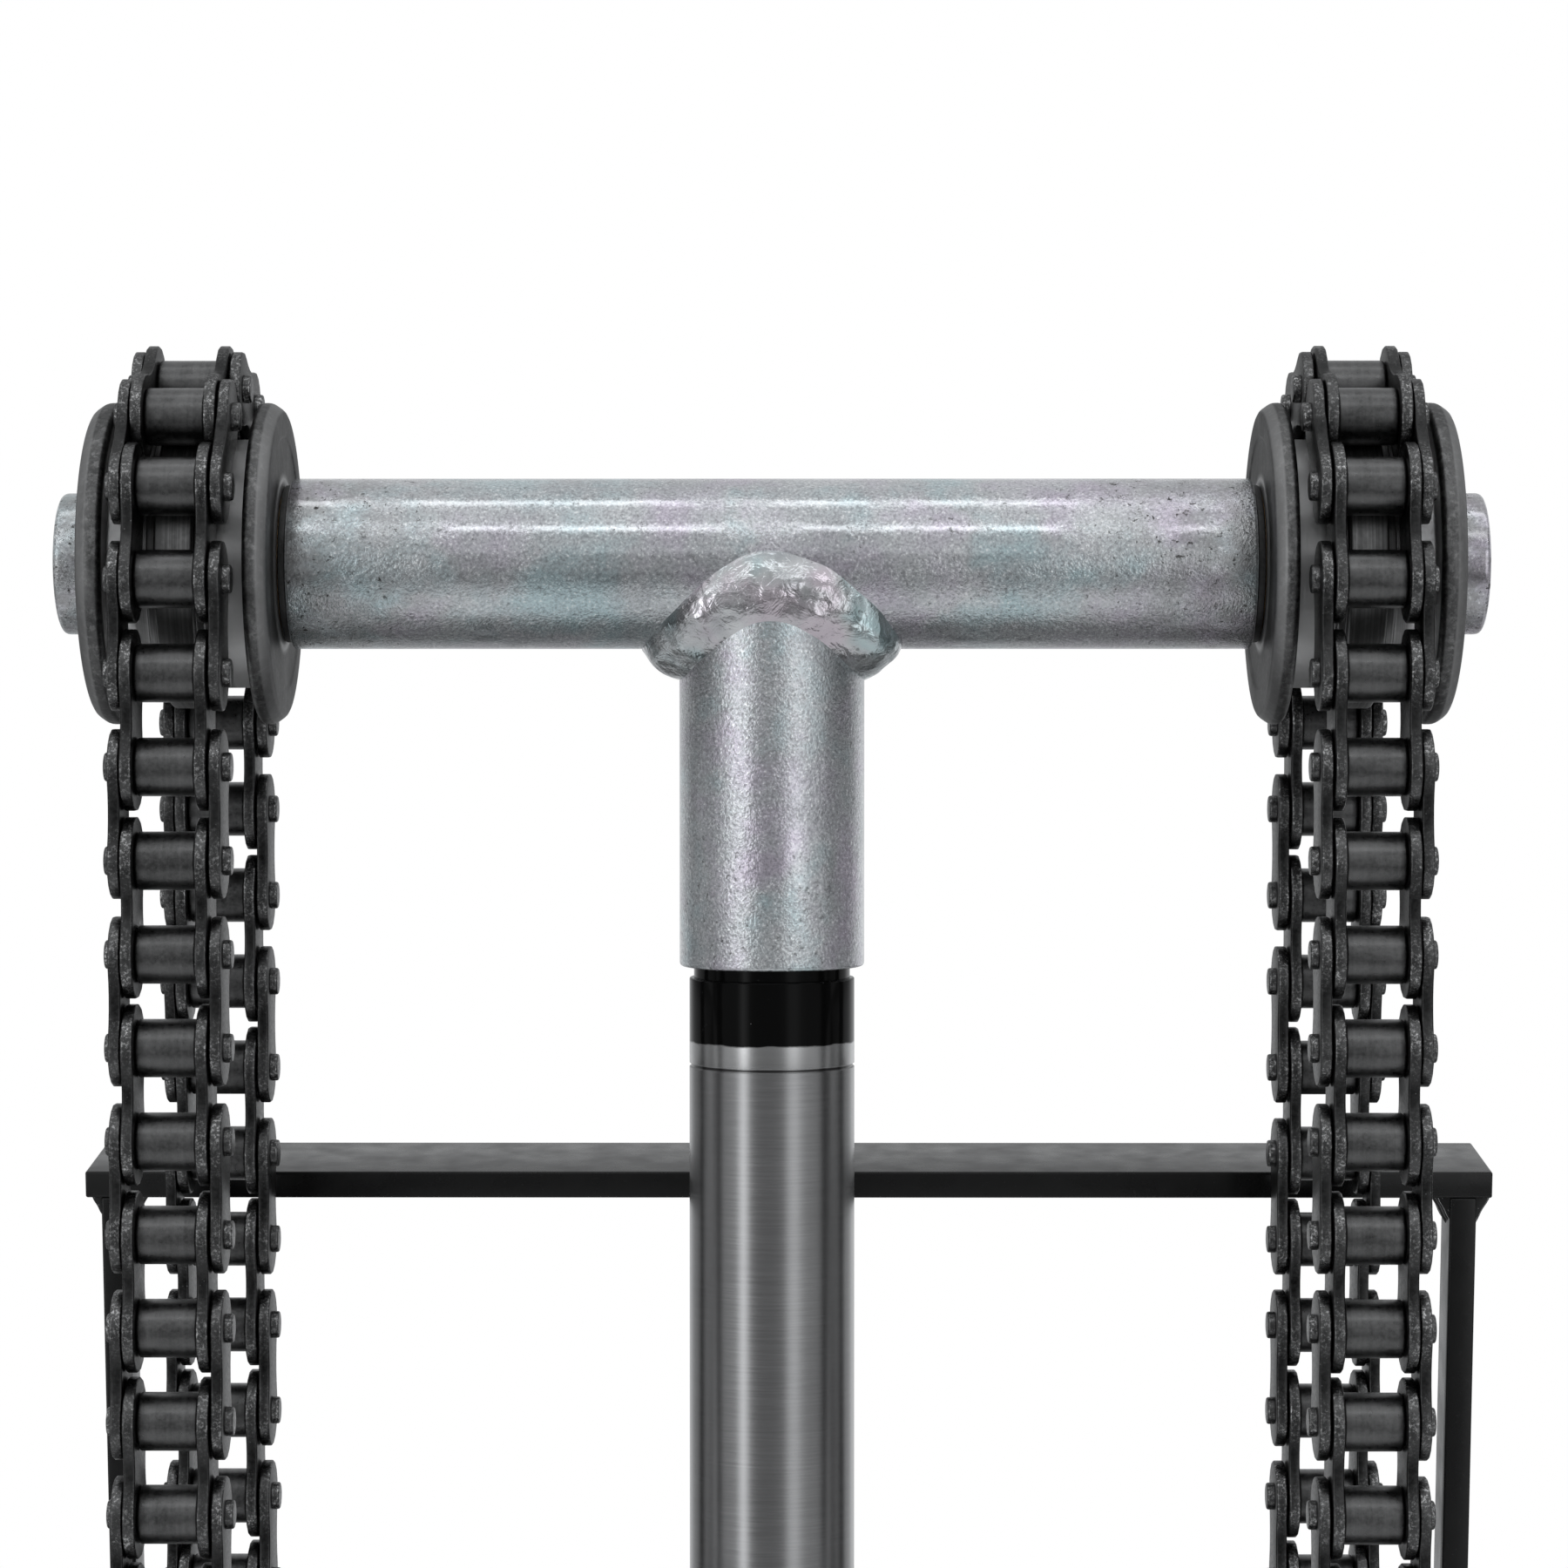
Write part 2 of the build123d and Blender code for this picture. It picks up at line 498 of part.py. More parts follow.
BUSH_OUTLINE = [
    (WHEEL_START, TUBE_BORE_RADIUS + RUNNING_GAP),
    (WHEEL_START, BUSH_RADIUS),
    (WHEEL_END, BUSH_RADIUS),
    (WHEEL_END, TUBE_BORE_RADIUS + RUNNING_GAP),
]
AXLE_RADIUS = TUBE_BORE_RADIUS - PRESS_GAP
AXLE_OUTLINE = [
    (TUBE_HALF_LENGTH - AXLE_GRIP, 0),
    (TUBE_HALF_LENGTH - AXLE_GRIP, AXLE_RADIUS),
    (HEAD_START, AXLE_RADIUS),
    (HEAD_START, AXLE_HEAD_RADIUS),
    (HEAD_END, AXLE_HEAD_RADIUS),
    (HEAD_END, 0),
]


def washer_outline(start, thickness, radius):
    """The outline of a plain washer on the axle."""
    hole = TUBE_BORE_RADIUS + PRESS_GAP
    end = start + thickness
    return [(start, hole), (start, radius), (end, radius), (end, hole)]


OUTER_WASHER_OUTLINE = washer_outline(
    WASHER_START, OUTER_WASHER_THICKNESS, OUTER_WASHER_RADIUS
)
INNER_WASHER_OUTLINE = washer_outline(
    TUBE_HALF_LENGTH, INNER_WASHER_THICKNESS, INNER_WASHER_RADIUS
)

for side, sign in SIDES.items():
    with BuildPart() as wheel:
        add(turned([(sign * x, r) for x, r in WHEEL_OUTLINE]).part)
    save(wheel.part, f"flanged_roller_{side}")

    with BuildPart() as bush:
        add(turned([(sign * x, r) for x, r in BUSH_OUTLINE]).part)
    save(bush.part, f"roller_bush_{side}")

    with BuildPart() as axle:
        add(turned([(sign * x, r) for x, r in AXLE_OUTLINE]).part)
        head_edges = axle.edges().filter_by(GeomType.CIRCLE).sort_by(Axis.X)
        fillet(head_edges[-1] if sign > 0 else head_edges[0], AXLE_HEAD_ROUND)
    save(axle.part, f"axle_{side}")

    with BuildPart() as outer_washer:
        add(turned([(sign * x, r) for x, r in OUTER_WASHER_OUTLINE]).part)
    save(outer_washer.part, f"outer_washer_{side}")

    with BuildPart() as thrust_washer:
        add(turned([(sign * x, r) for x, r in INNER_WASHER_OUTLINE]).part)
    save(thrust_washer.part, f"thrust_washer_{side}")

# ---- Chain pieces, each made once about its own pin or link centre ----
CHAIN_PLANE = Plane(origin=(0, 0, 0), x_dir=(0, 1, 0), z_dir=(1, 0, 0))


def link_plate(height, waist, hole, inner_face):
    """A pair of link plates lying along Y, with waisted edges tangent to the round ends."""
    end = height / 2
    half = PITCH / 2
    hollow = (half**2 + (waist / 2) ** 2 - end**2) / (height - waist)
    rise = waist / 2 + hollow
    share = end / (hollow + end)
    with BuildPart() as plates:
        with BuildSketch(CHAIN_PLANE.offset(inner_face)) as outline:
            Rectangle(2 * half * (1 - share), 2 * rise * share)
            with Locations((0, rise), (0, -rise)):
                Circle(hollow, mode=Mode.SUBTRACT)
            with Locations((half, 0), (-half, 0)):
                Circle(end)
                Circle(hole, mode=Mode.SUBTRACT)
        extrude(amount=PLATE_THICKNESS)
        mirror(about=Plane.YZ)
    return plates.part


def cross_tube(radius, bore, half_length, edge=0.0):
    """A pin, bushing or roller lying along X."""
    with BuildPart() as tube:
        with BuildSketch(CHAIN_PLANE):
            Circle(radius)
            if bore:
                Circle(bore, mode=Mode.SUBTRACT)
        extrude(amount=half_length, both=True)
        if edge:
            chamfer(tube.edges().filter_by(GeomType.CIRCLE), edge)
    return tube.part


INNER_PLATES = link_plate(
    INNER_PLATE_HEIGHT, INNER_PLATE_WAIST, BUSHING_RADIUS + PRESS_GAP, INNER_PLATE_X
)
OUTER_PLATES = link_plate(
    OUTER_PLATE_HEIGHT, OUTER_PLATE_WAIST, PIN_RADIUS + PRESS_GAP, OUTER_PLATE_X
)
LINK_PIN = cross_tube(PIN_RADIUS, 0, PIN_HALF_LENGTH, PIN_CHAMFER)
BUSHING = cross_tube(BUSHING_RADIUS, BUSHING_BORE_RADIUS, BUSHING_HALF_LENGTH)
CHAIN_ROLLER = cross_tube(
    CHAIN_ROLLER_RADIUS, BUSHING_RADIUS + 2 * RUNNING_GAP, INNER_PLATE_X - ROLLER_SIDE_GAP
)


def wrap_pins():
    """(y, z) of the pins over the wheel, from the front lift-off pin to the back one."""
    angles = [FIRST_ANGLE + n * LINK_ANGLE for n in range(WRAP_LINKS + 1)]
    return [(-PIN_CIRCLE * cos(a), AXIS_HEIGHT + PIN_CIRCLE * sin(a)) for a in angles]


def strand_pins(first, direction, count):
    """(y, z) of the pins of a hanging strand, from its lift-off pin downwards."""
    reach = PIN_CIRCLE - abs(first[0])
    points = [first]
    level = first[1] - sqrt(PITCH**2 - reach**2)
    for n in range(count):
        points.append((direction * PIN_CIRCLE, level - n * PITCH))
    return points


WRAP = wrap_pins()
FRONT = strand_pins(WRAP[0], -1, STRAND_LINKS + 1)
BACK = strand_pins(WRAP[-1], 1, STRAND_LINKS + 2)


def at_pin(x, pin):
    """The place of a pin, bushing or roller."""
    return Location((x, pin[0], pin[1]))


def at_link(x, first, second):
    """The place of a link between two pins, turned to lie along them."""
    angle = degrees(atan2(second[1] - first[1], second[0] - first[0]))
    middle = ((first[0] + second[0]) / 2, (first[1] + second[1]) / 2)
    return Location((x, *middle), (angle, 0, 0))


def chain_group(x, pins, inner_first, name):
    """The outer links, inner links and rollers of one run of chain.

    Links take turns along the pins. An outer link brings its two pins with it, and an
    inner link its two bushings and rollers.
    """
    links = list(zip(pins, pins[1:]))
    inner = [link for n, link in enumerate(links) if (n % 2 == 0) == inner_first]
    outer = [link for n, link in enumerate(links) if (n % 2 == 0) != inner_first]
    with BuildPart() as outer_links:
        with Locations(*[at_link(x, *link) for link in outer]):
            add(OUTER_PLATES)
        with Locations(*[at_pin(x, pin) for link in outer for pin in link]):
            add(LINK_PIN)
    save(outer_links.part, f"{name}_outer_links")
    with BuildPart() as inner_links:
        with Locations(*[at_link(x, *link) for link in inner]):
            add(INNER_PLATES)
        with Locations(*[at_pin(x, pin) for link in inner for pin in link]):
            add(BUSHING)
    save(inner_links.part, f"{name}_inner_links")
    with BuildPart() as rollers:
        with Locations(*[at_pin(x, pin) for link in inner for pin in link]):
            add(CHAIN_ROLLER)
    save(rollers.part, f"{name}_rollers")


# ---- Chain anchors ----
EAR_INNER = INNER_PLATE_X + PLATE_THICKNESS + EAR_SIDE_GAP
EAR_OUTER = EAR_INNER + EAR_THICKNESS
BLOCK_BOTTOM = CLEVIS_CROTCH + CLEVIS_BLOCK
NUT_TOPS = [BLOCK_BOTTOM, BLOCK_BOTTOM + ANCHOR_NUT_HEIGHTS[0]]


def anchor(x, pin, outward, name):
    """A clevis with its threaded stud, its pin and the two nuts on the stud."""
    y, z = pin
    pin_plane = Plane(origin=(x, y, z), x_dir=(0, 1, 0), z_dir=(1, 0, 0))
    with BuildPart() as clevis:
        with BuildSketch(pin_plane):
            Circle(EAR_ROUND)
            with Locations((0, -BLOCK_BOTTOM / 2)):
                Rectangle(2 * EAR_ROUND, BLOCK_BOTTOM)
            Circle(PIN_RADIUS + PRESS_GAP, mode=Mode.SUBTRACT)
        extrude(amount=EAR_OUTER, both=True)
        with BuildSketch(pin_plane):
            with Locations((0, (EAR_ROUND - CLEVIS_CROTCH) / 2)):
                Rectangle(2 * (EAR_ROUND + CUT_MARGIN), EAR_ROUND + CLEVIS_CROTCH)
        extrude(amount=EAR_INNER, both=True, mode=Mode.SUBTRACT)
        with BuildSketch(Plane.XY.offset(z - BLOCK_BOTTOM)):
            with Locations((x, y)):
                Circle(STUD_RADIUS)
        extrude(amount=-STUD_NUT_LENGTH)
        with BuildSketch(Plane.XY.offset(z - BLOCK_BOTTOM - STUD_NUT_LENGTH)):
            with Locations((x, y)):
                Circle(STUD_END_RADIUS)
        extrude(amount=-STUD_END_LENGTH)
        chamfer(clevis.faces().sort_by(Axis.Z)[0].edges(), EDGE_BREAK)
    save(clevis.part, f"anchor_clevis_{name}")

    with BuildPart() as clevis_pin:
        with BuildSketch(pin_plane):
            Circle(PIN_RADIUS)
        extrude(amount=EAR_OUTER + PIN_END, both=True)
        with BuildSketch(pin_plane.offset(outward * EAR_OUTER)):
            Circle(ANCHOR_HEAD_RADIUS)
        extrude(amount=outward * ANCHOR_HEAD_THICKNESS)
    save(clevis_pin.part, f"anchor_pin_{name}")

    with BuildPart() as nuts:
        for top, height in zip(NUT_TOPS, ANCHOR_NUT_HEIGHTS):
            with BuildSketch(Plane.XY.offset(z - top - PRESS_GAP)):
                with Locations((x, y)):
                    RegularPolygon(ANCHOR_NUT_FLATS / 2, 6, major_radius=False)
                    Circle(STUD_RADIUS + PRESS_GAP, mode=Mode.SUBTRACT)
            extrude(amount=-height + 2 * PRESS_GAP)
    save(nuts.part, f"anchor_nuts_{name}")


for side, sign in SIDES.items():
    chain_group(sign * CHAIN_X, WRAP, True, f"chain_{side}_wrap")
    chain_group(sign * CHAIN_X, FRONT, False, f"chain_{side}_front")
    chain_group(sign * CHAIN_X, BACK, True, f"chain_{side}_back")
    anchor(sign * CHAIN_X, FRONT[-1], sign, f"{side}_front")
    anchor(sign * CHAIN_X, BACK[-1], sign, f"{side}_back")

# ---- Frame behind the ram ----
LEAN = radians(FRAME_LEAN)
BAR_TOP = AXIS_HEIGHT - BAR_DROP
# X across, Y down the leaning frame, Z through the bar from its front edge backwards
BAR_PLANE = Plane(
    origin=(FRAME_SHIFT, BAR_FRONT, BAR_TOP),
    x_dir=(1, 0, 0),
    z_dir=(0, cos(LEAN), sin(LEAN)),
)
with BuildPart() as top_bar:
    with BuildSketch(BAR_PLANE):
        with Locations((0, BAR_THICKNESS / 2)):
            Rectangle(FRAME_WIDTH, BAR_THICKNESS)
    extrude(amount=BAR_DEPTH)
    fillet(top_bar.edges().filter_by(Axis.X), BAR_EDGE_ROUND)
save(top_bar.part, "frame_top_bar")

DOWN_Y = sin(LEAN)
DOWN_Z = -cos(LEAN)
UPRIGHT_TOP_Y = BAR_FRONT + BAR_THICKNESS * DOWN_Y
UPRIGHT_TOP_Z = BAR_TOP + BAR_THICKNESS * DOWN_Z
UPRIGHT_FALL = UPRIGHT_TOP_Z - BASE_THICKNESS
UPRIGHT_OUTER = FRAME_WIDTH / 2 - UPRIGHT_INSET
UPRIGHT_SPAN_Y = UPRIGHT_DEPTH / cos(LEAN)
BACK_TOP_Y = UPRIGHT_TOP_Y + UPRIGHT_DEPTH * cos(LEAN)
BACK_TOP_Z = UPRIGHT_TOP_Z + UPRIGHT_DEPTH * sin(LEAN)
FOOT_Y = UPRIGHT_TOP_Y + UPRIGHT_FALL * tan(LEAN)


def across_plane(x):
    """A plane facing +X, its own axes along the row's Y and Z."""
    return Plane(origin=(x, 0, 0), x_dir=(0, 1, 0), z_dir=(1, 0, 0))


for side, sign in SIDES.items():
    outer = FRAME_SHIFT + sign * UPRIGHT_OUTER
    with BuildPart() as upright:
        with BuildSketch(across_plane(outer)):
            with BuildLine():
                Polyline(
                    (UPRIGHT_TOP_Y, UPRIGHT_TOP_Z),
                    (BACK_TOP_Y, BACK_TOP_Z),
                    (FOOT_Y + UPRIGHT_SPAN_Y, BASE_THICKNESS),
                    (FOOT_Y, BASE_THICKNESS),
                    close=True,
                )
            make_face()
        extrude(amount=-sign * UPRIGHT_WIDTH)
    save(upright.part, f"upright_{side}")


def weld_fillet(origin, along, across, leg, length):
    """A three-cornered weld bead: leg by leg in the corner, running along a direction."""
    with BuildPart() as bead:
        with BuildSketch(Plane(origin=origin, x_dir=across, z_dir=along)):
            with BuildLine():
                Polyline((0, 0), (leg, 0), (0, leg), close=True)
            make_face()
        extrude(amount=length)
    return bead.part


with BuildPart() as welds:
    for sign in SIDES.values():
        for face, outward in ((UPRIGHT_OUTER, sign), (UPRIGHT_OUTER - UPRIGHT_WIDTH, -sign)):
            x = FRAME_SHIFT + sign * face
            back = (0, cos(LEAN), sin(LEAN))
            front = (0, -cos(LEAN), -sin(LEAN))
            # The sketch's second axis has to point down the frame, so the bead that
            # leans towards +X is drawn from its back end.
            if outward > 0:
                corner = (x, UPRIGHT_TOP_Y, UPRIGHT_TOP_Z)
                bead = weld_fillet(corner, back, (1, 0, 0), TOP_WELD_LEG, UPRIGHT_DEPTH)
            else:
                corner = (x, BACK_TOP_Y, BACK_TOP_Z)
                bead = weld_fillet(corner, front, (-1, 0, 0), TOP_WELD_LEG, UPRIGHT_DEPTH)
            add(bead)
            if outward > 0:
                foot = (x, FOOT_Y + UPRIGHT_SPAN_Y, BASE_THICKNESS)
                bead = weld_fillet(foot, (0, -1, 0), (1, 0, 0), FOOT_WELD_LEG, UPRIGHT_SPAN_Y)
            else:
                foot = (x, FOOT_Y, BASE_THICKNESS)
                bead = weld_fillet(foot, (0, 1, 0), (-1, 0, 0), FOOT_WELD_LEG, UPRIGHT_SPAN_Y)
            add(bead)
    with BuildSketch(Plane.XZ):
        with BuildLine():
            Polyline(
                (BASE_CAP_RADIUS, BASE_THICKNESS),
                (BASE_CAP_RADIUS + BARREL_WELD_LEG, BASE_THICKNESS),
                (BASE_CAP_RADIUS, BASE_THICKNESS + BARREL_WELD_LEG),
                close=True,
            )
        make_face()
    revolve(axis=Axis.Z)
    with BuildSketch(Plane.XZ):
        with BuildLine():
            Polyline(
                (BARREL_RADIUS, CAP_TOP),
                (BASE_CAP_RADIUS, CAP_TOP),
                (BARREL_RADIUS, CAP_TOP + BARREL_WELD_LEG),
                close=True,
            )
        make_face()
    revolve(axis=Axis.Z)
save(welds.part, "frame_welds")

print(f"wrapped pins on radius {PIN_CIRCLE:.3f}, chain centre {CHAIN_X:.2f} from the middle")
print(f"crosshead is {2 * HEAD_END:.1f} wide, chain pull-off {2 * PIN_CIRCLE:.1f} apart")
print(f"ram goes down {RETRACT_STROKE:.1f} and up {GLAND_BOTTOM - PISTON_TOP:.1f}")
print(f"lift-off pins at {FRONT[0]} and {BACK[0]}")
print(f"last pins at {FRONT[-1]} and {BACK[-1]}")
print(f"port at height {PORT_HEIGHT:.1f}, its mouth {BARREL_RADIUS + PORT_BOSS_REACH:.1f} out")
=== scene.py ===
"""Looks of the chain lift ram, in metres.

X runs along the crosshead, +Y goes back towards the frame, +Z up.
"""

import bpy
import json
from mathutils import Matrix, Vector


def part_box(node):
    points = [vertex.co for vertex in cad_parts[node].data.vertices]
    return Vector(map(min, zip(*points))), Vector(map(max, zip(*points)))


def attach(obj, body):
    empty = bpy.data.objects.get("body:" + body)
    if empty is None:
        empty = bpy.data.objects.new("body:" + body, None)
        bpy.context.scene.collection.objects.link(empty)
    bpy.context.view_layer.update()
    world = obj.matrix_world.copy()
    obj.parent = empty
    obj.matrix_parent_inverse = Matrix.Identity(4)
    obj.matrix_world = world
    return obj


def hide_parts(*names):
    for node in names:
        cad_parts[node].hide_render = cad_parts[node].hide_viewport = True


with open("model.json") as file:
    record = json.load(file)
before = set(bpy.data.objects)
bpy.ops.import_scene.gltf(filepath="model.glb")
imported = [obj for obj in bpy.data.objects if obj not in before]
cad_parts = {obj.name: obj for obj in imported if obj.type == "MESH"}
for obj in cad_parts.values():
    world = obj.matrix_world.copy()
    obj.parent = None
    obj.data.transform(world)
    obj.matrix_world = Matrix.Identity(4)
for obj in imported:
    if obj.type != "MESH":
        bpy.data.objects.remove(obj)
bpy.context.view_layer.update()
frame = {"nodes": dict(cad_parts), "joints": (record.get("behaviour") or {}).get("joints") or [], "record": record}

import json
from math import asin, atan2, cos, hypot, pi, radians, sin, sqrt

import bmesh
import bpy
from mathutils import Vector, noise

MM = 0.001
SIDES = {"left": -1, "right": 1}
SIDEWAYS = Vector((1, 0, 0))
NODES = frame["nodes"]
JOINTS = {joint["name"]: joint for joint in frame["joints"]}
scene = bpy.context.scene


# ---------------------------------------------------------------- mesh code
class Shape:
    """Vertices and faces gathered from several parts of one piece."""

    def __init__(self):
        self.verts = []
        self.faces = []
        self.marks = []

    def add(self, verts, faces, marks=None):
        base = len(self.verts)
        self.verts.extend(verts)
        self.faces.extend(tuple(i + base for i in face) for face in faces)
        self.marks.extend(marks or [0.0] * len(verts))

    def make(self, name, body, nodes, slot, look=None, sharp=38):
        """Turn the shape into an object that stands for CAD nodes and rides on a body."""
        mesh = bpy.data.meshes.new(name)
        mesh.from_pydata([tuple(v) for v in self.verts], [], self.faces)
        mark = mesh.attributes.new("wear", "FLOAT", "POINT")
        mark.data.foreach_set("value", self.marks)
        work = bmesh.new()
        work.from_mesh(mesh)
        bmesh.ops.remove_doubles(work, verts=work.verts, dist=2e-7)
        bmesh.ops.recalc_face_normals(work, faces=work.faces)
        work.to_mesh(mesh)
        work.free()
        mesh.shade_smooth()
        mesh.set_sharp_from_angle(angle=radians(sharp))
        obj = bpy.data.objects.new(name, mesh)
        scene.collection.objects.link(obj)
        mesh.materials.append(look or SLOT_LOOKS[slot])
        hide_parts(*nodes)
        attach(obj, body)
        return obj


def soften(points, closed=True, steps=3):
    """Round the corners of an outline of (a, b, reach of the rounding)."""
    out = []
    count = len(points)
    for i, (a, b, size) in enumerate(points):
        if not size or (not closed and i in (0, count - 1)):
            out.append((a, b))
            continue
        here = Vector((a, b))
        back = Vector(points[i - 1][:2]) - here
        ahead = Vector(points[(i + 1) % count][:2]) - here
        reach = min(size, back.length * 0.45, ahead.length * 0.45)
        start = here + back.normalized() * reach
        end = here + ahead.normalized() * reach
        for k in range(steps + 1):
            t = k / steps
            spot = start * (1 - t) ** 2 + here * (2 * t * (1 - t)) + end * t**2
            out.append((spot.x, spot.y))
    return out


def turn_point(axis, centre, along, radius, angle):
    """A point at an angle round an axis through the centre; along is absolute."""
    c = radius * cos(angle)
    s = radius * sin(angle)
    if axis == "X":
        return (along, centre[1] + c, centre[2] + s)
    if axis == "Y":
        return (centre[0] + c, along, centre[2] + s)
    return (centre[0] + c, centre[1] + s, along)


def grid(rows, columns, loop_rows, loop_columns):
    """Faces between neighbouring rows of points; a loop joins the last to the first."""
    faces = []
    for r in range(rows if loop_rows else rows - 1):
        s = (r + 1) % rows
        for i in range(columns if loop_columns else columns - 1):
            j = (i + 1) % columns
            faces.append((r * columns + i, r * columns + j, s * columns + j, s * columns + i))
    return faces


def sleeve(low, high, inner, outer, rim=0.0, bore_rim=0.0):
    """The outline of a plain turned piece: its bore, its two ends and its outside."""
    return soften([(low, inner, bore_rim), (low, outer, rim), (high, outer, rim), (high, inner, bore_rim)])


def lathe(profile, centre, axis, segments, closed=True):
    """Revolve an outline of (place along the axis, radius)."""
    angles = [2 * pi * s / segments for s in range(segments)]
    verts = [turn_point(axis, centre, along, radius, angle) for angle in angles for along, radius in profile]
    return verts, grid(segments, len(profile), True, closed)


def prism(outline, origin, u, v, w, length, rounding, mark=None):
    """Extrude a closed outline of (a, b, normal a, normal b) along w, its two rims rounded."""
    rim = [(0.0, 1.0), (0.13, 0.5), (0.5, 0.13), (1.0, 0.0)]
    rings = [(depth * rounding, inset * rounding) for depth, inset in rim]
    rings += [(length - depth, inset) for depth, inset in reversed(rings)]
    count = len(outline)
    verts = []
    marks = []
    for depth, inset in rings:
        for a, b, na, nb in outline:
            verts.append(origin + u * (a - na * inset) + v * (b - nb * inset) + w * depth)
            marks.append(mark(a, b) * (1 - inset / rounding) if mark else 0.0)
    faces = grid(len(rings), count, False, True)
    faces.append(tuple(reversed(range(count))))
    faces.append(tuple(range(len(verts) - count, len(verts))))
    return verts, faces, marks


def with_normals(points):
    """Add outward normals to a closed outline that runs anticlockwise."""
    out = []
    count = len(points)
    for i, (a, b) in enumerate(points):
        before = points[i - 1]
        after = points[(i + 1) % count]
        da = after[0] - before[0]
        db = after[1] - before[1]
        size = hypot(da, db)
        out.append((a, b, db / size, -da / size))
    return out


# ------------------------------------------------------------ material code
class Net:
    """A node tree, and short calls that add nodes to it."""

    def __init__(self, tree):
        self.tree = tree

    def node(self, kind, **inputs):
        made = self.tree.nodes.new(kind)
        for key, value in inputs.items():
            self.feed(made.inputs[key.replace("_", " ")], value)
        return made

    def feed(self, socket, value):
        if isinstance(value, bpy.types.NodeSocket):
            self.tree.links.new(value, socket)
        elif isinstance(value, tuple) and len(value) == 3 and socket.type == "RGBA":
            socket.default_value = (*value, 1.0)
        else:
            socket.default_value = value

    def math(self, operation, first, second=0.0, clamp=False):
        made = self.tree.nodes.new("ShaderNodeMath")
        made.operation = operation
        made.use_clamp = clamp
        self.feed(made.inputs[0], first)
        self.feed(made.inputs[1], second)
        return made.outputs[0]

    def times(self, first, second, clamp=False):
        return self.math("MULTIPLY", first, second, clamp)

    def ramp(self, fac, *stops):
        """Colour or grey along a ramp of (place, value)."""
        made = self.node("ShaderNodeValToRGB")
        self.feed(made.inputs[0], fac)
        points = made.color_ramp.elements
        while len(points) < len(stops):
            points.new(0.5)
        for point, (place, value) in zip(points, stops):
            point.position = place
            point.color = (*value, 1) if isinstance(value, tuple) else (value, value, value, 1)
        return made.outputs[0]

    def range(self, value, low, high, to_low=0.0, to_high=1.0, smooth=False):
        made = self.node("ShaderNodeMapRange")
        if smooth:
            made.interpolation_type = "SMOOTHSTEP"
        self.feed(made.inputs["Value"], value)
        for key, number in (("From Min", low), ("From Max", high), ("To Min", to_low), ("To Max", to_high)):
            self.feed(made.inputs[key], number)
        return made.outputs[0]


class Look(Net):
    """A node material with a Principled surface."""

    def __init__(self, name, metallic=1.0, roughness=0.4, **sockets):
        self.material = bpy.data.materials.new(name)
        self.material.use_nodes = True
        super().__init__(self.material.node_tree)
        self.shader = self.tree.nodes["Principled BSDF"]
        self.shader.inputs["Metallic"].default_value = metallic
        self.shader.inputs["Roughness"].default_value = roughness
        for key, value in sockets.items():
            self.shader.inputs[key.replace("_", " ")].default_value = value
        self.place = self.node("ShaderNodeTexCoord").outputs["Object"]
        self.x, self.y, self.z = self.node("ShaderNodeSeparateXYZ", Vector=self.place).outputs

    def noise(self, scale, detail=3.0, roughness=0.5, vector=None, distortion=0.0):
        made = self.node("ShaderNodeTexNoise")
        self.feed(made.inputs["Vector"], vector or self.place)
        made.inputs["Scale"].default_value = scale
        made.inputs["Detail"].default_value = detail
        made.inputs["Roughness"].default_value = roughness
        made.inputs["Distortion"].default_value = distortion
        return made.outputs["Fac"]

    def cells(self, scale):
        """Distance from the nearest of many scattered points."""
        return self.node("ShaderNodeTexVoronoi", Vector=self.place, Scale=scale).outputs["Distance"]

    def stretch(self, x, y, z):
        made = self.node("ShaderNodeMapping")
        self.feed(made.inputs["Vector"], self.place)
        made.inputs["Scale"].default_value = (x, y, z)
        return made.outputs[0]

    def mix(self, fac, first, second):
        """Mix two colours."""
        made = self.tree.nodes.new("ShaderNodeMix")
        made.data_type = "RGBA"
        made.clamp_result = False
        self.feed(made.inputs[0], fac)
        self.feed(made.inputs[6], first)
        self.feed(made.inputs[7], second)
        return made.outputs[2]

    def blend(self, fac, first, second):
        """Mix two plain numbers."""
        made = self.tree.nodes.new("ShaderNodeMix")
        made.data_type = "FLOAT"
        self.feed(made.inputs[0], fac)
        self.feed(made.inputs[2], first)
        self.feed(made.inputs[3], second)
        return made.outputs[0]

    def attribute(self, name):
        made = self.node("ShaderNodeAttribute")
        made.attribute_name = name
        return made.outputs["Fac"]

    def colour(self, value):
        self.feed(self.shader.inputs["Base Color"], value)

    def rough(self, value):
        self.feed(self.shader.inputs["Roughness"], value)

    def bump(self, height, distance, strength=1.0, under=None):
        made = self.node("ShaderNodeBump")
        self.feed(made.inputs["Strength"], strength)
        made.inputs["Distance"].default_value = distance
        self.feed(made.inputs["Height"], height)
        if under:
            self.feed(made.inputs["Normal"], under)
        return made.outputs[0]

    def normal(self, value):
        self.feed(self.shader.inputs["Normal"], value)

    def from_axis(self, height):
        """Distance from the crosshead's axis."""
        up = self.math("SUBTRACT", self.z, height)
        squares = self.math("ADD", self.times(self.y, self.y), self.times(up, up))
        return self.math("SQRT", squares)


AXIS = JOINTS["roller_spin_left"]["pos_m"][2]
TUBE_LOW, TUBE_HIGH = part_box("crosshead_tube")
TUBE_HALF = TUBE_HIGH.x
TUBE_RADIUS = (TUBE_HIGH.z - TUBE_LOW.z) / 2
SOCKET_LOW, SOCKET_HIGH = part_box("rod_socket")


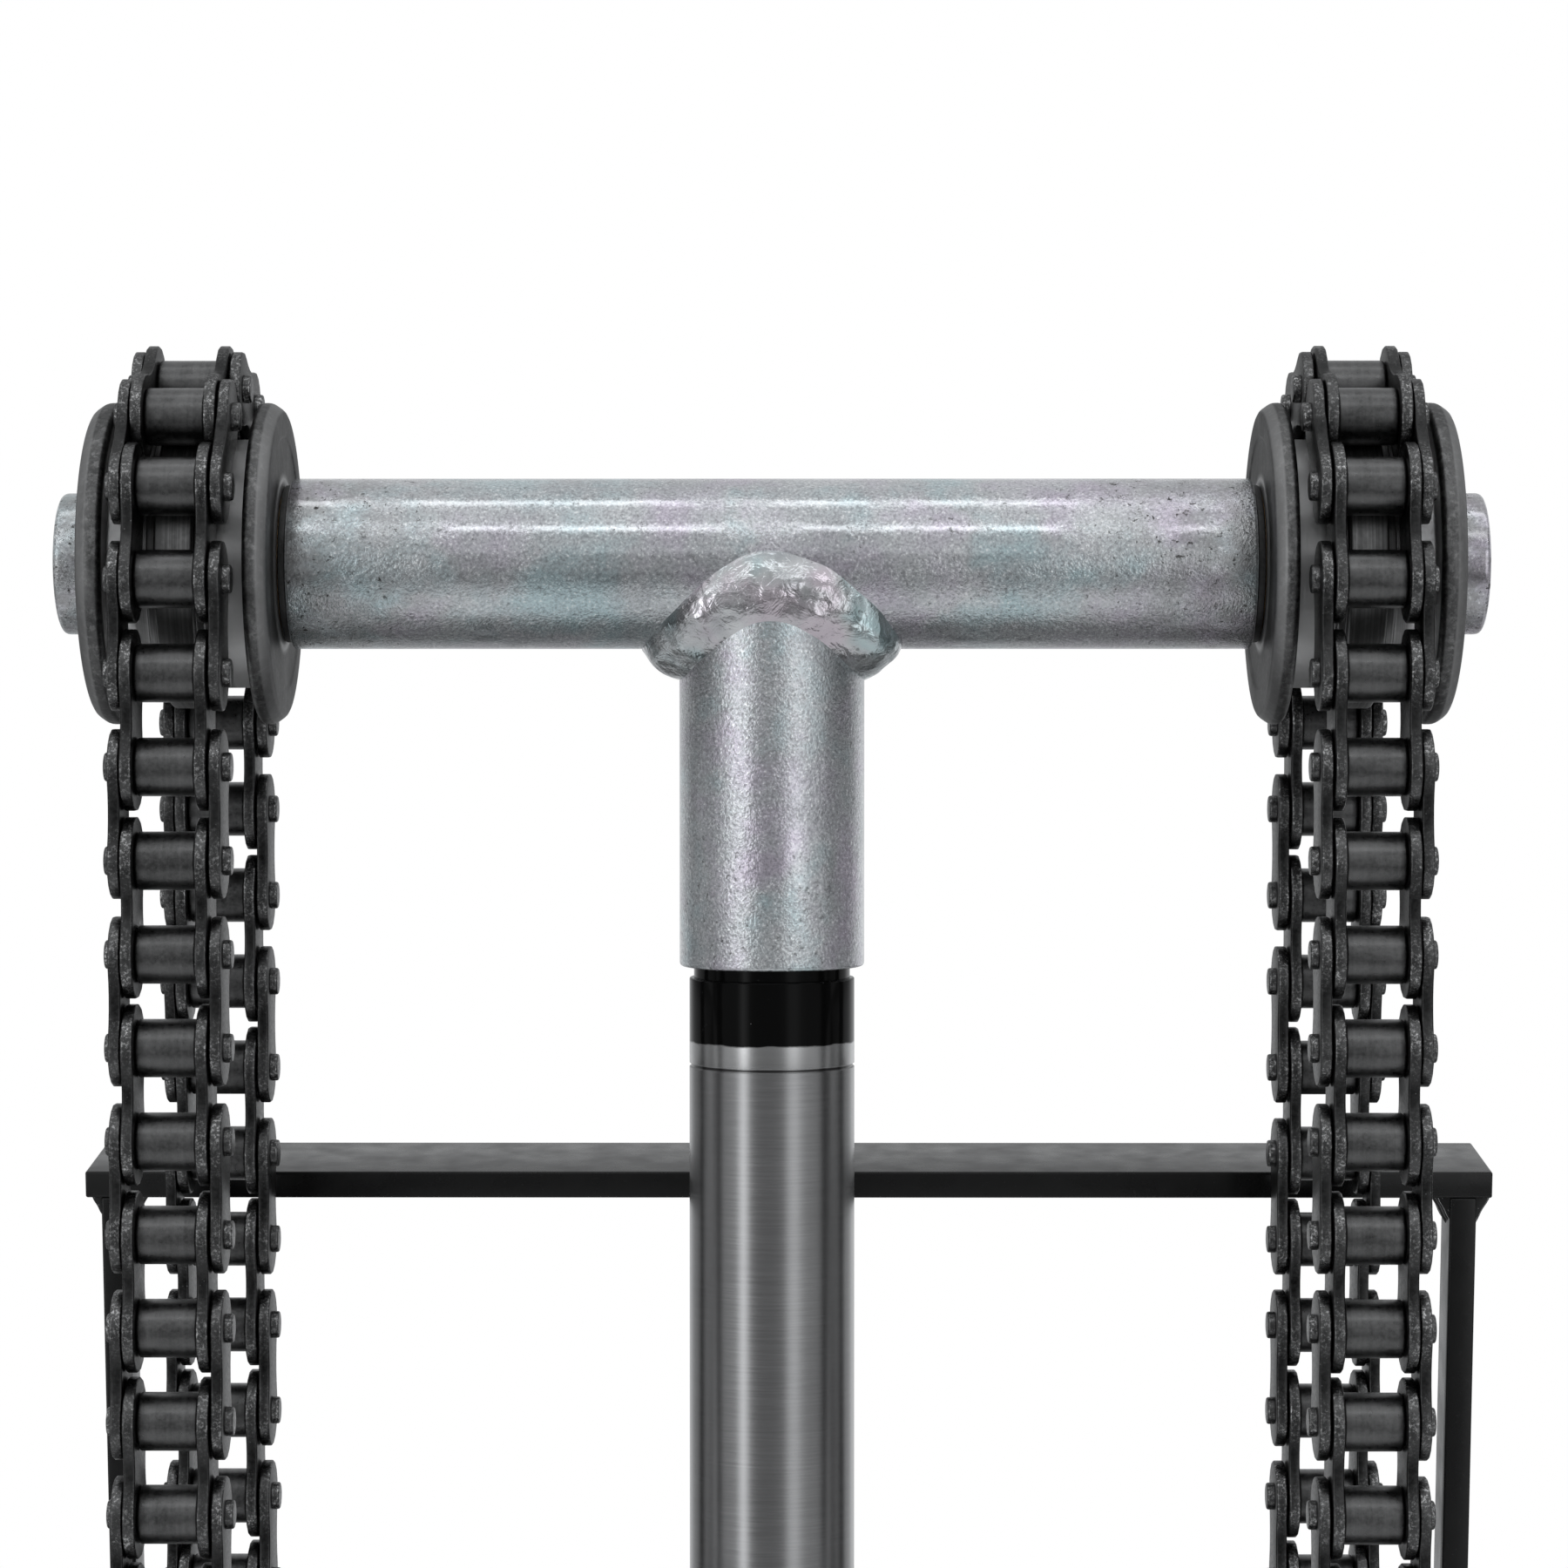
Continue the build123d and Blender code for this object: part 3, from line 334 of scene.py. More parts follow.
def zinc_look(name, sheen, dirt):
    """Bright zinc plate over rough steel: sparkling grain, faint lilac and cyan, dark specks."""
    look = Look(name, metallic=0.8)
    cloud = look.noise(40.0, 6.0, 0.72)
    tint = look.noise(70.0, 3.0, 0.55)
    grain = look.noise(1600.0, 3.0, 0.65)
    stops = (0.34, (0.42, 0.43, 0.45)), (0.5, (0.56, 0.58, 0.595)), (0.66, (0.67, 0.69, 0.70))
    base = look.ramp(cloud, *stops)
    hue = look.ramp(
        look.noise(38.0, 4.0, 0.6),
        (0.38, (0.48, 0.65, 0.68)),
        (0.49, (0.58, 0.60, 0.62)),
        (0.60, (0.62, 0.55, 0.66)),
    )
    base = look.mix(look.range(tint, 0.36, 0.60, 0.1, 0.7), base, hue)
    base = look.mix(look.range(grain, 0.36, 0.52, 0.45, 0.0), base, (0.16, 0.16, 0.18))
    base = look.mix(look.range(grain, 0.60, 0.67, 0.0, 0.70), base, (0.97, 0.98, 0.99))
    pits = look.range(look.noise(620.0, 5.0, 0.78), 0.585, 0.64)
    where = look.range(look.noise(30.0, 4.0, 0.7), 0.48, 0.64, dirt * 0.08, dirt)
    ends = look.range(look.math("ABSOLUTE", look.x), TUBE_HALF - 0.040, TUBE_HALF - 0.002, 0.0, 0.8)
    soil = look.times(pits, look.math("ADD", where, ends, clamp=True), clamp=True)
    dull = look.times(ends, look.range(look.noise(190.0, 5.0, 0.7), 0.40, 0.56))
    base = look.mix(look.times(dull, 0.7), base, (0.27, 0.265, 0.26))
    look.colour(look.mix(soil, base, (0.05, 0.048, 0.045)))
    look.rough(look.blend(soil, look.range(grain, 0.3, 0.7, sheen, sheen + 0.12), 0.6))
    rolled = look.bump(look.noise(150.0, 3.0, 0.55), 0.00022, 0.40)
    lower = look.range(look.z, SOCKET_HIGH.z, SOCKET_HIGH.z - 0.012, 0.0, 0.12)
    patches = look.math("ADD", look.noise(36.0, 4.0, 0.6), lower)
    coarse = look.range(patches, 0.46, 0.60, 0.06, 0.62)
    lumps = look.bump(look.noise(520.0, 3.0, 0.6), 0.00013, coarse, rolled)
    look.normal(look.bump(grain, 0.00016, look.range(patches, 0.46, 0.58, 0.06, 0.80), lumps))
    return look.material


def weld_zinc_look():
    """Plated weld metal: smooth and glossy, with shallow lumps."""
    look = Look("zinc_weld_look", metallic=0.85)
    cloud = look.noise(110.0, 4.0, 0.6)
    base = look.ramp(cloud, (0.34, (0.34, 0.35, 0.37)), (0.5, (0.50, 0.52, 0.53)), (0.66, (0.66, 0.68, 0.69)))
    hue = look.ramp(
        look.noise(60.0, 3.0),
        (0.40, (0.42, 0.58, 0.60)),
        (0.5, (0.52, 0.53, 0.54)),
        (0.6, (0.60, 0.52, 0.58)),
    )
    base = look.mix(look.range(look.noise(85.0, 3.0), 0.40, 0.60, 0.1, 0.7), base, hue)
    pits = look.range(look.noise(420.0, 5.0, 0.75), 0.63, 0.67, 0.0, 0.6)
    look.colour(look.mix(pits, base, (0.10, 0.10, 0.10)))
    look.rough(look.range(look.noise(420.0, 3.0), 0.3, 0.7, 0.10, 0.24))
    coarse = look.bump(look.noise(230.0, 3.0, 0.55, distortion=1.2), 0.0005, 0.8)
    look.normal(look.bump(look.noise(760.0, 3.0, 0.6), 0.00016, 0.6, coarse))
    return look.material


def steel_look(name, dark, light, rough, rings=0.0, wear=0.0, speck=0.0, edge_tint=1.0):
    """Bare or oiled steel. rings: turned lines round the X axis. wear: bright worn rims."""
    look = Look(name, metallic=1.0, Specular_Tint=(edge_tint, edge_tint, edge_tint, 1.0))
    cloud = look.noise(90.0, 4.0, 0.6)
    grain = look.noise(1100.0, 3.0, 0.65)
    base = look.mix(look.range(cloud, 0.32, 0.68), (dark,) * 3, (light,) * 3)
    base = look.mix(look.range(grain, 0.40, 0.70, 0.0, 0.5), base, (light * 1.35,) * 3)
    roughness = look.range(grain, 0.3, 0.7, rough - 0.06, rough + 0.10)
    height = look.bump(grain, 0.00005, 0.45)
    if rings:
        lines = look.noise(rings, 2.0, 0.7, look.stretch(1.0, 0.006, 0.006))
        base = look.mix(look.range(lines, 0.42, 0.66, 0.0, 0.30), base, (light * 1.45,) * 3)
        height = look.bump(lines, 0.00002, 0.4, height)
    if speck:
        spots = look.range(look.cells(900.0), 0.0, 0.14, 1.0, 0.0)
        some = look.range(look.noise(160.0, 2.0), 0.5, 0.60)
        base = look.mix(look.times(spots, look.times(some, speck)), base, (0.62, 0.62, 0.63))
    if wear:
        rim = look.attribute("wear")
        rubbed = look.range(look.noise(1700.0, 4.0, 0.75), 0.51, 0.64)
        patches = look.range(look.noise(170.0, 3.0, 0.6), 0.42, 0.60, 0.30, 1.0)
        share = look.times(rim, look.times(rubbed, patches), clamp=True)
        base = look.mix(look.times(rim, 0.75 * wear), base, (light * 2.6,) * 3)
        base = look.mix(look.times(share, 0.85 * wear), base, (0.66, 0.66, 0.66))
        roughness = look.blend(share, roughness, 0.30)
    look.colour(base)
    look.rough(roughness)
    look.normal(height)
    return look.material


def wheel_look():
    """Turned wheel: turned steel inside the chain's channel, with painted shade on its rib between the chain
    plates and painted light on its parts by the flanges; dark speckled flanges with painted highlights on their
    rim bevels, paler hub.
    """
    look = Look("wheel_look", metallic=1.0, Specular_Tint=(0.6, 0.6, 0.6, 1.0))
    radius = look.from_axis(AXIS)
    cloud = look.noise(85.0, 5.0, 0.7)
    grain = look.noise(1000.0, 4.0, 0.75)
    base = look.ramp(cloud, (0.32, 0.035), (0.5, 0.075), (0.68, 0.13))
    base = look.mix(look.range(grain, 0.44, 0.68, 0.0, 0.45), base, (0.22, 0.22, 0.22))
    face = look.node("ShaderNodeCombineXYZ", X=radius, Y=look.x, Z=0.0).outputs[0]
    rings = look.noise(1500.0, 2.0, 0.6, face)
    channel = look.range(radius, 0.0324, 0.0312, smooth=True)
    # the channel's turned steel; its tone is kept dark as painted shade for the rib between the chain plates
    turned = look.mix(look.range(rings, 0.38, 0.64), (0.17, 0.17, 0.17), (0.30, 0.30, 0.30))
    reach = look.math("ABSOLUTE", look.math("SUBTRACT", look.math("ABSOLUTE", look.x), WHEEL_MIDDLE))
    # painted light: the channel's parts by the flanges, beyond the chain plates, are painted much lighter
    turned = look.mix(look.range(reach, 0.0085, 0.0098), turned, (0.72, 0.72, 0.72))
    outside = look.range(look.math("ABSOLUTE", look.x), WHEEL_INNER + 0.0046, WHEEL_INNER + 0.0050)
    inside = look.range(look.math("ABSOLUTE", look.x), WHEEL_OUTER - 0.0050, WHEEL_OUTER - 0.0054)
    between = look.times(channel, look.times(outside, inside))
    base = look.mix(between, base, turned)
    rim = look.range(radius, 0.0318, 0.0334, smooth=True)
    rubbed = look.times(rim, look.range(look.noise(620.0, 4.0, 0.75), 0.50, 0.66, 0.12, 0.6))
    base = look.mix(rubbed, base, (0.30, 0.30, 0.30))
    # painted highlight: the rim bevels of both flanges are painted lighter, standing in for light falling on them
    painted_lit_bevel = look.times(look.range(radius, 0.0318, 0.0324), look.range(reach, 0.0172, 0.0176))
    base = look.mix(look.times(painted_lit_bevel, 0.6), base, (0.30, 0.30, 0.30))
    hub = look.range(radius, 0.0176, 0.0196, 0.85, 0.0, smooth=True)
    base = look.mix(look.times(hub, look.math("SUBTRACT", 1.0, between)), base, (0.42, 0.42, 0.42))
    look.colour(base)
    look.rough(look.range(grain, 0.3, 0.7, 0.34, 0.54))
    look.normal(look.bump(rings, 0.00003, 0.4, look.bump(look.noise(420.0, 4.0, 0.7), 0.00012, 0.4)))
    return look.material


WHEEL_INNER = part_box("flanged_roller_right")[0].x
WHEEL_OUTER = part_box("flanged_roller_right")[1].x
WHEEL_MIDDLE = (WHEEL_INNER + WHEEL_OUTER) / 2
ROD_LOW, ROD_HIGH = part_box("piston_rod")
ROD_RADIUS = (ROD_HIGH.x - ROD_LOW.x) / 2
SOCKET_END = SOCKET_LOW.z
NECK_END = SOCKET_END - 2.4 * MM
BAND_END = SOCKET_END - 15.9 * MM
GROOVE = SOCKET_END - 21.3 * MM
GROOVE_WIDTH = 0.8 * MM
GROOVE_DEPTH = 0.35 * MM


def rod_look():
    """Ground rod: even steel with fine rings, a painted shade line in its groove, a gloss black band below the
    neck.
    """
    look = Look("rod_look", metallic=1.0, Specular_IOR_Level=0.06)
    fine = look.noise(2600.0, 3.0, 0.7, look.stretch(0.03, 0.03, 1.0))
    wide = look.noise(130.0, 3.0, 0.6, look.stretch(0.05, 0.05, 1.0))
    blotch = look.noise(60.0, 5.0, 0.65)
    steel = look.mix(look.range(fine, 0.35, 0.68), (0.228, 0.228, 0.230), (0.264, 0.264, 0.267))
    steel = look.mix(look.range(wide, 0.42, 0.64, 0.0, 0.25), steel, (0.22, 0.22, 0.22))
    steel = look.mix(look.range(blotch, 0.48, 0.72, 0.0, 0.25), steel, (0.17, 0.17, 0.175))
    clean = look.range(look.z, GROOVE + 0.2 * MM, GROOVE + GROOVE_WIDTH)
    steel = look.mix(look.times(clean, 0.5), steel, (0.50, 0.50, 0.50))
    # painted shade: a near-black line is painted into the groove
    off = look.math("ABSOLUTE", look.math("SUBTRACT", look.z, GROOVE + GROOVE_WIDTH / 2))
    steel = look.mix(look.range(off, 0.34 * MM, 0.18 * MM, 0.0, 0.9), steel, (0.02, 0.02, 0.02))
    edge = look.math("ADD", look.z, look.range(look.noise(220.0, 3.0), 0.3, 0.7, -0.0002, 0.0002))
    painted = look.range(edge, BAND_END - 0.0002, BAND_END + 0.0002)
    chips = look.range(look.noise(520.0, 4.0, 0.75), 0.70, 0.73, 1.0, 0.4)
    painted = look.times(painted, chips)
    look.colour(look.mix(painted, steel, (0.003, 0.003, 0.003)))
    look.feed(look.shader.inputs["Metallic"], look.math("SUBTRACT", 1.0, painted))
    look.rough(look.blend(painted, look.range(fine, 0.3, 0.7, 0.22, 0.26), 0.12))
    look.normal(look.bump(fine, 0.000006, 0.15))
    return look.material


def paint_look(name, tone, gloss, speck):
    """Black enamel with orange peel, dust and small chips."""
    look = Look(name, metallic=0.0, Specular_IOR_Level=0.3)
    cloud = look.noise(18.0, 4.0, 0.6)
    base = look.mix(look.range(cloud, 0.3, 0.7), (tone * 0.7,) * 3, (tone * 1.4,) * 3)
    dust = look.range(look.noise(1300.0, 2.0, 0.6), 0.68, 0.74)
    base = look.mix(look.times(dust, speck), base, (0.40, 0.40, 0.40))
    rubbed = look.times(look.attribute("wear"), look.range(look.noise(420.0, 5.0, 0.75), 0.62, 0.68))
    base = look.mix(look.times(rubbed, 0.7), base, (0.25, 0.25, 0.25))
    look.colour(base)
    look.rough(look.range(look.noise(120.0, 3.0), 0.3, 0.7, gloss, gloss + 0.14))
    look.normal(look.bump(look.noise(420.0, 2.0, 0.5), 0.00008, 0.35))
    return look.material


def soft_look(name, tone, rough, tint=(1.0, 1.0, 1.0)):
    """Rubber or plastic with a fine mottled skin."""
    look = Look(name, metallic=0.0)
    grain = look.noise(700.0, 3.0, 0.6)
    low = tuple(tone * 0.8 * c for c in tint)
    high = tuple(tone * 1.25 * c for c in tint)
    look.colour(look.mix(look.range(grain, 0.3, 0.7), low, high))
    look.rough(look.range(grain, 0.3, 0.7, rough - 0.08, rough + 0.08))
    look.normal(look.bump(grain, 0.00005, 0.4))
    return look.material


def bronze_look():
    look = Look("bronze_look", metallic=1.0)
    grain = look.noise(420.0, 4.0, 0.6)
    look.colour(look.mix(look.range(grain, 0.3, 0.7), (0.34, 0.21, 0.10), (0.60, 0.41, 0.22)))
    look.rough(look.range(grain, 0.3, 0.7, 0.28, 0.46))
    look.normal(look.bump(grain, 0.00005, 0.4))
    return look.material


SLOT_LOOKS = {
    "black_paint": paint_look("black_paint_look", 0.0035, 0.22, 0.03),
    "zinc_plate": zinc_look("zinc_look", 0.11, 0.75),
    "bright_washer": steel_look("bright_washer_look", 0.40, 0.60, 0.26, rings=900.0, speck=0.4),
    "dark_washer": steel_look("dark_washer_look", 0.03, 0.07, 0.45),
    "gland_steel": steel_look("gland_look", 0.10, 0.20, 0.34),
    "rod_steel": rod_look(),
    "machined_steel": steel_look("machined_look", 0.26, 0.40, 0.32),
    "bronze": bronze_look(),
    "seal_rubber": soft_look("rubber_look", 0.02, 0.55),
    "wear_plastic": soft_look("wear_plastic_look", 0.30, 0.5, (1.0, 0.82, 0.55)),
    "roller_steel": wheel_look(),
    "chain_plate_steel": steel_look("chain_plate_look", 0.018, 0.044, 0.32, 0.0, 0.85, 0.4, 0.7),
    "chain_roller_steel": steel_look("chain_roller_look", 0.075, 0.125, 0.32, rings=700.0),
    "nut_steel": steel_look("nut_look", 0.36, 0.58, 0.30, wear=0.5),
    "anchor_steel": steel_look("anchor_look", 0.30, 0.50, 0.34, speck=0.4),
}
ZINC_HEAD = zinc_look("zinc_head_look", 0.16, 0.5)
ZINC_WELD = weld_zinc_look()
WELD_BLACK = paint_look("painted_weld_look", 0.004, 0.16, 0.8)

# ------------------------------------------------------------------- chains
PITCH = 19.05 * MM
PLATE = 2.42 * MM
INNER_X = 6.285 * MM
OUTER_X = 8.955 * MM
PIN_HALF = 12.925 * MM
PIN_RADIUS = 2.97 * MM
LINK_ROLLER_RADIUS = 5.955 * MM
LINK_ROLLER_HALF = 6.135 * MM
BUSHING_HALF = 8.705 * MM
CHAIN_WRAP_LINKS = 6


def link_outline(height, waist, arc=11, hollow_steps=5):
    """A waisted chain plate's outline, anticlockwise, with its outward normals."""
    end = height / 2
    half = PITCH / 2
    hollow = (half**2 + (waist / 2) ** 2 - end**2) / (height - waist)
    rise = waist / 2 + hollow
    tilt = atan2(rise, half)
    out = []
    for side in (1, -1):
        for k in range(arc + 1):
            angle = -(pi - tilt) + 2 * (pi - tilt) * k / arc
            c = cos(angle) * side
            s = sin(angle) * side
            out.append((half * side + end * c, end * s, c, s))
        for k in range(1, hollow_steps):
            angle = -tilt - (pi - 2 * tilt) * k / hollow_steps
            c = cos(angle) * side
            s = sin(angle) * side
            out.append((hollow * c, rise * side + hollow * s, -c, -s))
    return out


def bulge(a, b):
    """Worn most where a plate is widest."""
    return min(1.0, max(0.0, 2.2 * abs(a) / PITCH - 0.25))


INNER_OUTLINE = link_outline(18.0 * MM, 13.6 * MM)
OUTER_OUTLINE = link_outline(15.6 * MM, 12.2 * MM)
ROLLER_PROFILE = sleeve(-LINK_ROLLER_HALF, LINK_ROLLER_HALF, 4.4 * MM, LINK_ROLLER_RADIUS, 0.5 * MM)
BUSHING_PROFILE = sleeve(-BUSHING_HALF, BUSHING_HALF, 3.02 * MM, 4.29 * MM)
PIN_PROFILE = sleeve(-PIN_HALF, PIN_HALF, 0.0, PIN_RADIUS, 0.55 * MM)


def pins_over_wheel(first, last):
    """(y, z) of the wrapped pins between the two lift-off pins."""
    radius = hypot(first[1], first[2] - AXIS)
    step = 2 * asin(PITCH / 2 / radius)
    start = asin((first[2] - AXIS) / radius)
    angles = [start + n * step for n in range(CHAIN_WRAP_LINKS)]
    pins = [(-radius * cos(a), AXIS + radius * sin(a)) for a in angles]
    return pins + [(last[1], last[2])]


def pins_down(first, last):
    """(y, z) of a strand's pins from its lift-off pin to its anchor's pin."""
    reach = abs(last[1]) - abs(first[1])
    level = first[2] - sqrt(PITCH**2 - reach**2)
    count = round((level - last[2]) / PITCH)
    return [(first[1], first[2])] + [(last[1], level - n * PITCH) for n in range(count + 1)]


def chain(x, pins, inner_first, name, body):
    """A run of chain: outer links with pins, inner links with bushings, and rollers."""
    links = list(zip(pins, pins[1:]))
    outer = Shape()
    inner = Shape()
    rollers = Shape()
    for n, (first, second) in enumerate(links):
        lengthwise = Vector((0, second[0] - first[0], second[1] - first[1])).normalized()
        across = Vector((0, -lengthwise.z, lengthwise.y))
        centre = Vector((x, (first[0] + second[0]) / 2, (first[1] + second[1]) / 2))
        is_inner = (n % 2 == 0) == inner_first
        shape, outline, face = outer, OUTER_OUTLINE, OUTER_X
        if is_inner:
            shape, outline, face = inner, INNER_OUTLINE, INNER_X
        for side in (1, -1):
            origin = centre + Vector((side * face, 0, 0))
            w = Vector((side, 0, 0))
            shape.add(*prism(outline, origin, lengthwise, across, w, PLATE, 0.42 * MM, bulge))
        for y, z in (first, second):
            spot = (x, y, z)
            if is_inner:
                rollers.add(*lathe([(x + a, r) for a, r in ROLLER_PROFILE], spot, "X", 28))
                inner.add(*lathe([(x + a, r) for a, r in BUSHING_PROFILE], spot, "X", 24))
            else:
                verts, faces = lathe([(x + a, r) for a, r in PIN_PROFILE], spot, "X", 24, closed=False)
                ends = [1.0 if abs(v[0] - x) > PIN_HALF - 0.6 * MM else 0.0 for v in verts]
                outer.add(verts, faces, ends)
    outer.make(f"{name}_outer_look", body, [f"{name}_outer_links"], "chain_plate_steel")
    inner.make(f"{name}_inner_look", body, [f"{name}_inner_links"], "chain_plate_steel")
    rollers.make(f"{name}_roller_look", body, [f"{name}_rollers"], "chain_roller_steel")


# ------------------------------------------------------------------ anchors
CLEVIS_ROUND = 9.4 * MM
CLEVIS_BOTTOM = 22.0 * MM
CLEVIS_CROTCH = 13.0 * MM
EAR_INNER = 9.205 * MM
EAR_OUTER = 13.205 * MM
STUD_RADIUS = 6.0 * MM
STUD_END_RADIUS = 5.1 * MM
STUD_LENGTH = 52.0 * MM
NUT_LENGTH = 18.0 * MM
THREAD_PITCH = 1.75 * MM
THREAD_DEPTH = 0.55 * MM
THREAD_EASE = 0.8 * MM  # how much thinner the thread is at its foot
CLEVIS_OVERLAP = 0.6 * MM  # of the clevis's block with each ear
PIN_HEAD_RADIUS = 5.0 * MM
PIN_HEAD_END = 2.0 * MM  # out of the ear
PIN_TAIL_END = 1.55 * MM
NUT_FLATS = 19.0 * MM
NUT_HEIGHTS = (10.0 * MM, 6.0 * MM)
NUT_GAP = 0.02 * MM  # at each face of a nut


def ear_outline():
    """A clevis ear: round at its top, square at its foot."""
    foot = -CLEVIS_BOTTOM
    points = [(-CLEVIS_ROUND, foot + 0.5 * MM), (-CLEVIS_ROUND + 0.5 * MM, foot)]
    points += [(CLEVIS_ROUND - 0.5 * MM, foot), (CLEVIS_ROUND, foot + 0.5 * MM)]
    points += [(CLEVIS_ROUND * cos(pi * k / 20), CLEVIS_ROUND * sin(pi * k / 20)) for k in range(21)]
    return with_normals(points)


def threaded(centre, top, bottom, radius):
    """A vertical rolled thread, eased at its foot."""
    segments = 40
    shape = [(0.0, 1.0), (0.18, 1.0), (0.5, 0.0), (0.62, 0.0), (0.94, 1.0)]
    turns = int((top - bottom) / THREAD_PITCH) + 2
    count = turns * len(shape)
    verts = []
    for s in range(segments + 1):
        angle = 2 * pi * s / segments
        for turn in range(turns):
            for part, crest in shape:
                z = top - (turn + part + s / segments - 1) * THREAD_PITCH
                reach = radius - THREAD_DEPTH * (1 - crest)
                reach = min(reach, radius - THREAD_EASE + max(0.0, z - bottom))
                z = min(max(z, bottom), top)
                verts.append(turn_point("Z", centre, z, reach, angle))
    faces = grid(segments + 1, count, False, False)
    foot = len(verts)
    verts.append((centre[0], centre[1], bottom))
    faces += [((s + 1) * count - 1, (s + 2) * count - 1, foot) for s in range(segments)]
    return verts, faces


def hex_nut(centre, top, height, flats, bore):
    """A nut lying flat, its corners chamfered at both ends, with a countersunk bore."""
    segments = 72
    crown = flats / 2 * 0.95
    sink = 0.8 * MM
    rim = 0.35 * MM
    verts = []
    marks = []
    for s in range(segments):
        angle = 2 * pi * s / segments
        turn = (angle + pi / 6) % (pi / 3) - pi / 6
        edge = flats / 2 / cos(turn)
        drop = max(0.0, edge - crown) * 0.58
        half = [(sink, bore, 0.0), (0.0, bore + sink, 0.3), (0.0, crown, 0.6)]
        half += [(drop, edge, 1.0), (drop + rim, edge, 0.2)]
        ring = [(top - depth, radius, mark) for depth, radius, mark in half]
        ring += [(top - height + depth, radius, mark) for depth, radius, mark in reversed(half)]
        for z, radius, mark in ring:
            verts.append(turn_point("Z", centre, z, radius, angle))
            marks.append(mark)
    return verts, grid(segments, len(ring), True, True), marks


def anchor(side, run):
    """The clevis, pin, stud and nuts at a strand's end."""
    x, y, z = centre = JOINTS[f"anchor_swing_{side}_{run}"]["pos_m"]
    name = f"{side}_{run}"
    body = f"anchor_{name}"
    outward = SIDES[side]
    up = Vector((0, 0, 1))
    along = Vector((0, 1, 0))
    clevis = Shape()
    for sign in (1, -1):
        origin = Vector((x + sign * EAR_INNER, y, z))
        w = Vector((sign, 0, 0))
        thick = EAR_OUTER - EAR_INNER
        clevis.add(*prism(ear_outline(), origin, along, up, w, thick, 0.5 * MM, lambda a, b: 1.0))
    low, high = -CLEVIS_BOTTOM, -CLEVIS_CROTCH
    block = [(-CLEVIS_ROUND, low), (CLEVIS_ROUND, low), (CLEVIS_ROUND, high), (-CLEVIS_ROUND, high)]
    block = [(a, b, na * 1.4, nb * 1.4) for a, b, na, nb in with_normals(block)]
    reach = EAR_INNER + CLEVIS_OVERLAP
    clevis.add(*prism(block, Vector((x - reach, y, z)), along, up, SIDEWAYS, 2 * reach, 0.2 * MM))
    top = z - CLEVIS_BOTTOM
    clevis.add(*threaded(centre, top, top - NUT_LENGTH, STUD_RADIUS))
    plain = [(top - NUT_LENGTH, 0, 0), (top - NUT_LENGTH, STUD_END_RADIUS, 0)]
    plain += [(top - STUD_LENGTH, STUD_END_RADIUS, 1.2 * MM), (top - STUD_LENGTH, 0, 0)]
    clevis.add(*lathe(soften(plain, closed=False), centre, "Z", 48, closed=False))
    clevis.make(f"anchor_{name}_clevis_look", body, [f"anchor_clevis_{name}"], "anchor_steel", sharp=30)

    tail = -outward * (EAR_OUTER + PIN_TAIL_END)
    ear = outward * EAR_OUTER
    head = outward * (EAR_OUTER + PIN_HEAD_END)
    pin = [(tail, 0, 0), (tail, PIN_RADIUS, 0.5 * MM), (ear, PIN_RADIUS, 0), (ear, PIN_HEAD_RADIUS, 0.3 * MM)]
    pin += [(head, PIN_HEAD_RADIUS, 0.6 * MM), (head, 0, 0)]
    shape = Shape()
    shape.add(*lathe([(x + a, r) for a, r in soften(pin, closed=False)], centre, "X", 32, closed=False))
    shape.make(f"anchor_{name}_pin_look", body, [f"anchor_pin_{name}"], "machined_steel")

    nuts = Shape()
    level = top
    for height in NUT_HEIGHTS:
        nuts.add(*hex_nut(centre, level - NUT_GAP, height - 2 * NUT_GAP, NUT_FLATS, STUD_RADIUS))
        level -= height
    nuts.make(f"anchor_{name}_nuts_look", body, [f"anchor_nuts_{name}"], "nut_steel", sharp=25)


# ------------------------------------------------------------------- wheels
def along_x(name, profile, body, nodes, slot, segments=128, closed=True, look=None):
    """A turned piece on the crosshead's axis."""
    shape = Shape()
    shape.add(*lathe(profile, (0, 0, AXIS), "X", segments, closed))
    shape.make(name, body, nodes, slot, look)


def outline_x(sign, start, points):
    """An outline given in mm outwards from a face, put on one side of the crosshead."""
    return soften([(sign * (start + a * MM), r * MM, size * MM) for a, r, size in points])


# The wheel's outline in mm: radii, and lengths outwards from its inner face.
WHEEL_BORE = 15.07
FACE_CUT = 0.35
FLANGE = 5.0
OUTER_FLANGE = 5.4
DRUM = 26.2
RIB = 30.54
WASHER_BORE = 12.52
AXLE_SHANK = 12.48 * MM
AXLE_HEAD = 6.0 * MM


